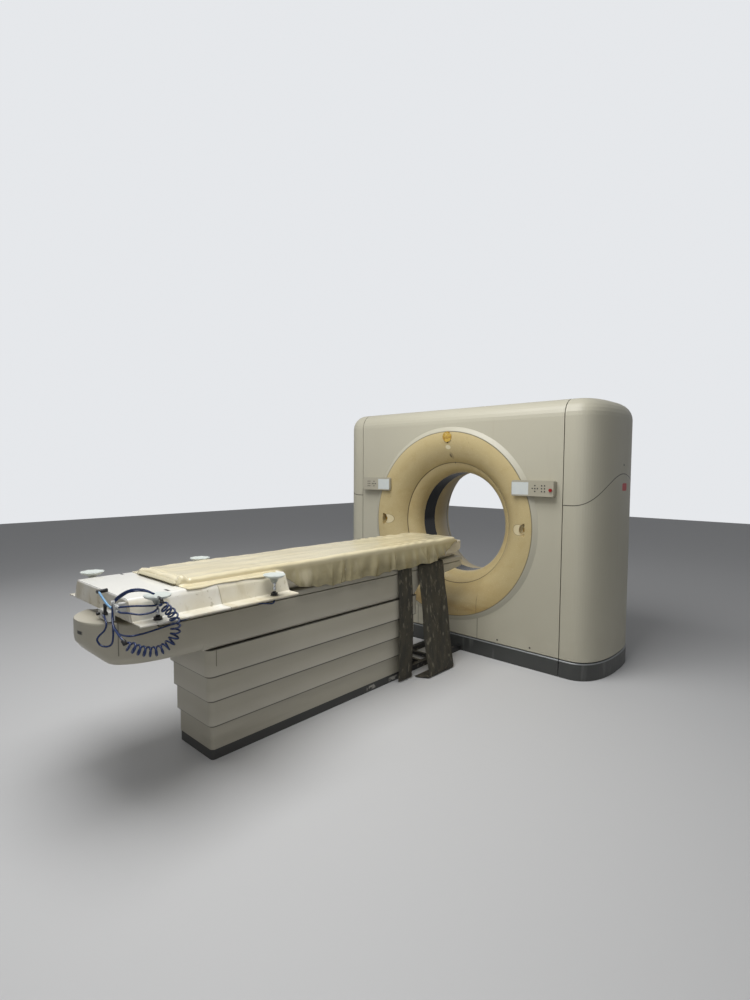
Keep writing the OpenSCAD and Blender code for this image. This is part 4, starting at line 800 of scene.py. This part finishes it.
def hem_height(y, near):
    """Height of the hem: it drops quickly behind the tray and rises again at the head corner."""
    knots = [(HANG_FROM, 0.941), (-2.30, 0.885), (-2.20, 0.827), (-2.04, 0.797), (-1.79, 0.795),
             (-1.47, 0.800), (-1.20, 0.802), (-0.96, 0.800), (-0.80, 0.847), (HANG_TO, 0.925),
             (-0.62, 0.935)]
    ys, zs = np.array(knots).T
    z = np.interp(y, ys, zs)
    wobble = 0.006 * np.sin(19 * y + 3 * near) + 0.005 * np.sin(41 * y + near + 2 * np.sin(9 * y))
    wobble = wobble * ease(y, -2.2, -2.0) * ease(-y, 0.9, 1.1)
    return np.where(y < HANG_FROM, 0.9405, z + wobble)


def folds(y, down, side, dice):
    """Broad uneven folds, each with its own place, width, depth and lean. One fold is a bump
    depth e^(-sharp (distance/width)^(2/sharp)), thrown only on the chosen side."""
    total, place = 0 * (y + down), HANG_FROM
    while place < HANG_TO:
        width, depth = dice.uniform(0.014, 0.042), dice.uniform(0.006, 0.021)
        lean, sharp = dice.uniform(-0.30, 0.30), dice.uniform(0.9, 1.8)
        gap = np.abs(y - place - lean * down) / width
        total = total + depth * np.exp(-(gap ** (2 / sharp)) * sharp)
        place += dice.uniform(0.045, 0.125)
    return np.where(side, total, 0)


def sheet_points(rows, cols):
    """Vinyl over the mattress. Rows run along the couch, and s runs across it from hem to hem.
    The section is x = half + bend sin(b), z = top - bend (1 - cos(b)), then straight down, or
    on the tray down and out again. Folds and creases are added to it as bumps and sines."""
    line = np.linspace(SHEET_FOOT, SHEET_HEAD, rows)[:, None]
    y = line + np.zeros((1, cols))
    s = np.linspace(-1, 1, cols)[None, :] + np.zeros((rows, 1))
    near = np.sign(s)
    half = SHEET_HALF + 0.002 * np.sin(9 * y + near)
    flat_run, arc_l = half - BEND, BEND * np.pi / 2
    # Hanging: over the edge and straight down
    drop = np.clip(SHEET_TOP - hem_height(y, near) - BEND, 0, None)
    # On the tray: down to its top plate, and out over it to the shoulder
    turn_r = 0.006
    step = SHEET_TOP - TRAY_TOP - BEND - turn_r
    lip = SPREAD + 0.003 * np.sin(13 * y + 2 * near) + 0.0015 * np.sin(37 * y) - half - turn_r
    tray_run = step + turn_r * np.pi / 2 + lip
    hanging = ease(y, -2.40, -2.28)
    along = np.abs(s) * (flat_run + arc_l + drop * hanging + tray_run * (1 - hanging))
    bend = np.clip((along - flat_run) / BEND, 0, np.pi / 2)
    down = np.clip(along - flat_run - arc_l, 0, None)
    x = np.minimum(along, flat_run) + BEND * np.sin(bend)
    z = SHEET_TOP - BEND * (1 - np.cos(bend))
    out_bend = np.clip((down - step) / turn_r, 0, np.pi / 2)
    out = np.clip(down - step - turn_r * np.pi / 2, 0, None)
    tray_x = x + turn_r * (1 - np.cos(out_bend)) + out
    tray_z = z - np.minimum(down, step) - turn_r * np.sin(out_bend)
    tray_z = tray_z - np.clip(tray_x - 0.288, 0, None) * 0.9
    tray_z = tray_z + 0.0012 * ease(out, 0.0, 0.02) * (1 + np.sin(33 * y + 30 * out + near))
    x = x * hanging + tray_x * (1 - hanging)
    z = (z - down) * hanging + tray_z * (1 - hanging)
    # Folds open with depth; one deep slit stands near the middle
    deep = ease(down, 0.0, 0.11)
    dice = np.random.default_rng(11)
    fold = folds(y, down, near > 0, dice) + folds(y, down, near <= 0, dice)
    x = x + hanging * deep * (0.002 + fold) + hanging * 0.004 * np.sin(5 * y) ** 2 * deep
    x = x - hanging * deep * 0.020 * bell(y, -1.828 + 0.02 * down, 0.011) * (near > 0)
    y = y + hanging * deep * 0.010 * np.sin(23 * y + 4 * np.sin(6 * y) + near)
    # Creases on the top: cross ones from the edges, long ones down the middle, a ridge by the edge
    on_top = (down <= 0)
    edge = ease(np.abs(x), 0.05, 0.20)
    head = ease(y, -1.5, -0.8)
    z = z + on_top * edge * (0.0008 + 0.0022 * head) * np.sin(47 * y + 12 * np.abs(x)
                                                              + 5 * np.sin(5 * y))
    z = z + on_top * 0.0016 * np.sin(27 * x + 6 * y) * np.sin(3.1 * y + 9 * x)
    z = z + on_top * 0.0009 * np.sin(58 * x + 5 * y + 3 * np.sin(4 * y)) * np.sin(2.3 * y + 7 * x)
    z = z + on_top * 0.0035 * bell(x, 0.196 + 0.004 * np.sin(8 * y), 0.008) * (near > 0)
    # Foot end: rounded and puffed, with a small peak at the near corner, a little askew
    away = line - SHEET_FOOT + 0 * y
    rounded = np.sqrt(np.clip(1 - (1 - np.clip(away / FOOT_ROUND, 0, 1)) ** 2, 0, 1))
    z = TRAY_TOP + (z - TRAY_TOP) * rounded
    z = z + on_top * 0.007 * bell(away, 0.026, 0.016) * (1 + 0.5 * np.sin(21 * x))
    z = z - on_top * 0.004 * bell(away, 0.058, 0.008)
    z = z + 0.014 * bell(near * x, 0.205, 0.022) * bell(away, 0.026, 0.020) * (near > 0)
    y = y + 0.020 * ease(x, -0.25, 0.22) * ease(-line, 2.80, 2.93)
    y = y + 0.006 * np.sin(17 * x + 1) * ease(-line, 2.85, 2.93)
    # Head end: the sheet turns down over the tabletop's end
    lap = ease(line, SHEET_HEAD - 0.035, SHEET_HEAD)
    z = z - on_top * lap * 0.030
    return np.stack([np.sign(s) * x, y, z], -1)


grid = sheet_points(400, 112)
vinyl_sheet = surface("vinyl_cover_sheet", grid, "tabletop", vinyl, wall=0.0012)
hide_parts("vinyl_cover")

# %% [markdown]
# ## Mattress
# The pad under the vinyl is a thin foam slab. Its edge shows only as the swell under the
# sheet, so it is one closed form with rounded sides and a slight crown.

# %% Mattress
foam = Finish("pad_foam", srgb(196, 188, 160), 0.7)
foam.bump(foam.cloud(600, 2), 0.0002)

MATTRESS_HALF_W, MATTRESS_HALF_L, MATTRESS_MIDDLE, MATTRESS_TOP = 0.204, 1.149, -1.781, 0.9612
# Its underside lies on the tray's top at the foot end, and on the tabletop from there on
OVER_TRAY, OVER_TABLE, TRAY_END = 0.9382, 0.9328, -2.345


def mattress_points(rows, cols):
    """A slab whose section is a flat oval, x = half width |cos q|^0.25 and z by |sin q|^0.6, so
    its sides are nearly upright. It tapers only at its two ends."""
    u = np.linspace(-1, 1, rows)[:, None]
    q = np.linspace(0, 2 * np.pi, cols, endpoint=False)[None, :]
    taper = (1 - np.abs(u) ** 60) ** 0.5
    x = MATTRESS_HALF_W * np.sign(np.cos(q)) * np.abs(np.cos(q)) ** 0.25 * (0.94 + 0.06 * taper)
    y = MATTRESS_MIDDLE + MATTRESS_HALF_L * u + 0 * q
    low = np.where(y < TRAY_END, OVER_TRAY, OVER_TABLE)
    height = np.sign(np.sin(q)) * np.abs(np.sin(q)) ** 0.6
    z = low + (MATTRESS_TOP - low) * (0.5 + 0.5 * height * taper)
    z = z - 0.0015 * (x / 0.2) ** 2 * (height > 0)
    return np.stack([x, y, z], -1)


pad = surface("mattress_pad", closed(mattress_points(160, 48)), "tabletop", foam)
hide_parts("mattress")

# %% [markdown]
# ## Cloth straps
# Two restraint straps come out under the vinyl and hang to the floor. They are a heavy
# mottled webbing. Each is a band swept along a line in the x-z plane, with slow ripples. They
# ride on the couch's top.

# %% Straps
webbing = Finish("strap_webbing", srgb(68, 64, 52), 0.8)
weave = webbing.node("ShaderNodeTexWave", {"bands_direction": "Z"},
                     {"Vector": webbing.place, "Scale": 160.0, "Distortion": 1.0})
webbing.stain(webbing.cloud(22, 5, (1, 1, 0.35)).between(0.42, 0.58) * 0.85, srgb(52, 50, 43))
webbing.stain(webbing.cloud(40, 4, (1, 1, 0.4)).between(0.58, 0.68) * 0.7, srgb(128, 122, 104))
webbing.bump(weave * 0.5 + webbing.cloud(300, 3), 0.0006)


def strap_points(line, y0, y1, cols, ripple):
    """The band's centre line, spread across y, with a ripple that grows down the band:
    x = line + ripple (t sin(34 y + 7 t) + 0.4 sin(61 y + 15 t))."""
    path = spline(MM * np.array([[x, 0, z] for x, z in line]), 0.008)
    t = np.linspace(0, 1, len(path))[:, None]
    y = np.linspace(y0, y1, cols)[None, :] + 0 * t
    wave = ripple * t * np.sin(34 * y + 7 * t) + 0.4 * ripple * np.sin(61 * y + 15 * t)
    x = path[:, 0, None] + wave * ease(t, 0.06, 0.3) * (path[:, 2, None] > 0.03)
    z = path[:, 2, None] + 0 * y
    return np.stack([x, y, z], -1), length_of(path)


# Each strap: its line as (x, z) in millimetres, its two edges in y, and its ripple
strap_lines = {
    "strap_narrow": ([(168, 803), (198, 803), (211, 797), (215, 770), (224, 560), (228, 300),
                      (228, 120), (222, 10)], -1.316, -1.170, 0.003),
    "strap_wide": ([(168, 803), (198, 803), (211, 797), (219, 760), (257, 480), (299, 160),
                    (324, 34), (329, 14), (320, 7), (290, 7), (232, 7)], -1.098, -0.794, 0.006),
}
for name, (line, y0, y1, ripple) in strap_lines.items():
    grid, run = strap_points(line, y0, y1, 40, ripple)
    if name == "strap_wide":
        tail = ease(np.linspace(0, 1, len(grid))[:, None], 0.86, 1.0)
        grid[:, :, 1] -= 0.05 * tail
    strap = surface(name, grid, "couch_top", webbing, wall=0.0035)
    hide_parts("straps")
    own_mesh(strap)
    print(name, round(run, 3), "m long")

# %% [markdown]
# ## Levelling pads
# Four dished plastic pads stand on black threaded stems through the tray's flanges. They are
# all turned parts: a profile of radius and height, spun about the stem's upright axis. The
# dish's thin rim is a little wavy.

# %% Pads
pad_plastic = Finish("pad_plastic", srgb(206, 212, 206), 0.3)
# The lower part of each dish, below its rim, is painted darker as shade
pad_plastic.stain(pad_plastic.z.between(0.946, 0.936) * 0.85, srgb(138, 143, 138))
pad_plastic.bump(pad_plastic.cloud(120, 3), 0.0004)
PAD_X, PAD_YS = 0.367, (-3.083, -2.477)
STEM_LOW, STEM_TOP, STEM_R, THREAD_DEPTH, PITCH = 0.8195, 0.9125, 0.0052, 0.0007, 0.0011
NUT_ZS, WASHER_Z = (0.848, 0.8285), 0.8463
pad_spots = [(x, y) for x in (-PAD_X, PAD_X) for y in PAD_YS]
dish = [(0, 0.9455), (0.020, 0.945), (0.038, 0.9465), (0.050, 0.951), (0.0555, 0.9535),
        (0.057, 0.9525), (0.054, 0.9475), (0.044, 0.940), (0.030, 0.935), (0.022, 0.930),
        (0.018, 0.922), (0.015, 0.914), (0.011, 0.912), (0, 0.912)]
q = np.linspace(0, 2 * np.pi, 48, endpoint=False)
dishes = []
for x, y in pad_spots:
    grid = turned(dish, (x, y, 0))
    rim = np.clip((np.array(dish)[:, 0] - 0.03) / 0.027, 0, 1)[:, None]
    grid[:, :, 2] += 0.0009 * rim * np.sin(9 * q + 30 * x)[None, :]
    dishes.append(grid)
surface("pad_dishes", dishes, "tabletop", pad_plastic)
steps = np.arange(STEM_LOW + 0.0005, STEM_TOP, PITCH)
thread = [(STEM_R + THREAD_DEPTH * (k % 2), z) for k, z in enumerate(steps)]
thread = [(0, STEM_LOW)] + thread + [(0, STEM_TOP)]
surface("pad_stems", [turned(thread, (x, y, 0), sides=20) for x, y in pad_spots], "tabletop",
        black_fitting)
hub = [(0.0, 0.8606), (0.0095, 0.8606), (0.0095, 0.884), (0.0082, 0.886), (0.0082, 0.900),
       (0.0105, 0.904), (0.0105, STEM_TOP), (0, STEM_TOP)]
surface("pad_hubs", [turned(hub, (x, y, 0), sides=24) for x, y in pad_spots], "tabletop",
        chrome)
nut = [(0, 0), (0.0155, 0), (0.0175, 0.002), (0.0175, 0.0105), (0.0155, 0.0125), (0, 0.0125)]
washer = [(0, 0), (0.021, 0), (0.021, 0.0015), (0, 0.0015)]
nuts = []
for x, y in pad_spots:
    for z in NUT_ZS:
        nuts.append(turned(nut, (x, y, z), sides=6))
    nuts.append(turned(washer, (x, y, WASHER_Z), sides=6))
surface("pad_nuts", nuts, "tabletop", black_fitting, smooth=False)
elbow_path = spline(MM * np.array([[400, -3094, 948], [425, -3098, 949], [441, -3101, 948.5],
                                   [446, -3102, 941.5]]), 0.003)
elbow = surface("curly_hose_elbow", tube(elbow_path, 0.0065, np.array([0.3, -0.9, 0.1]), 16),
                "tabletop", black_fitting)
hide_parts("tray_pads")

# %% [markdown]
# ## Light and floor
# One broad lamp hangs above, two weak ones stand at the sides, and a pale sky fills the
# shadows. The camera sees a brighter backdrop than the sky that lights the scanner, so the
# picture stays light while the shadows keep their depth. The floor is one pale square.

# %% Light and floor
def lamp(name, place, target, size, power):
    """A square lamp at a place, aimed at a target, with its side in metres and watts."""
    data = bpy.data.lights.new(name, "AREA")
    data.size, data.energy = size, power
    made = bpy.data.objects.new(name, data)
    bpy.context.scene.collection.objects.link(made)
    aim = unit(np.array(target, float) - np.array(place, float))
    side_axis = unit(np.cross(aim, [0.0, 0.0, 1.0]) + [1e-6, 0, 0])
    pose = np.eye(4)
    pose[:3, :4] = np.column_stack([side_axis, np.cross(side_axis, aim), -aim, place])
    made.matrix_world = Matrix(pose.tolist())


lamp("ceiling", (0.2, -2.6, 4.3), (0.1, -1.5, 0.8), 2.8, 156)
lamp("side", (3.6, -5.6, 3.0), (0.0, -0.8, 0.9), 3.0, 26)
lamp("far_side", (-4.2, -3.2, 3.0), (0.0, -1.2, 0.9), 3.0, 16)

# The backdrop's strength where the camera sees it, what gloss adds, and the sky's own light
BACKDROP, GLOSS, SKY = 0.68, 0.25, 0.15
world = bpy.data.worlds.new("pale room")
bpy.context.scene.world = world
world.use_nodes = True
world_tree = world.node_tree
backdrop = world_tree.nodes["Background"]
path_info = world_tree.nodes.new("ShaderNodeLightPath")
seen = Value(world_tree, path_info.outputs["Is Camera Ray"])
glint = Value(world_tree, path_info.outputs["Is Glossy Ray"])
through = Value(world_tree, path_info.outputs["Is Transmission Ray"])
strength = (seen + through).between(0, 1) * BACKDROP + glint * GLOSS + SKY
world_tree.links.new(strength.socket, backdrop.inputs["Strength"])
backdrop.inputs["Color"].default_value = (0.95, 0.97, 1.0, 1.0)

floor_finish = Finish("pale_floor", srgb(206, 206, 206), 0.6)
FLOOR_ENDS = (-14, 14)
floor_mesh = bpy.data.meshes.new("floor")
floor_mesh.from_pydata([(x, y, 0) for x in FLOOR_ENDS for y in FLOOR_ENDS], [], [(0, 2, 3, 1)])
floor_mesh.materials.append(floor_finish.material)
floor = bpy.data.objects.new("floor", floor_mesh)
bpy.context.scene.collection.objects.link(floor)

bpy.context.scene.view_settings.view_transform = "Standard"
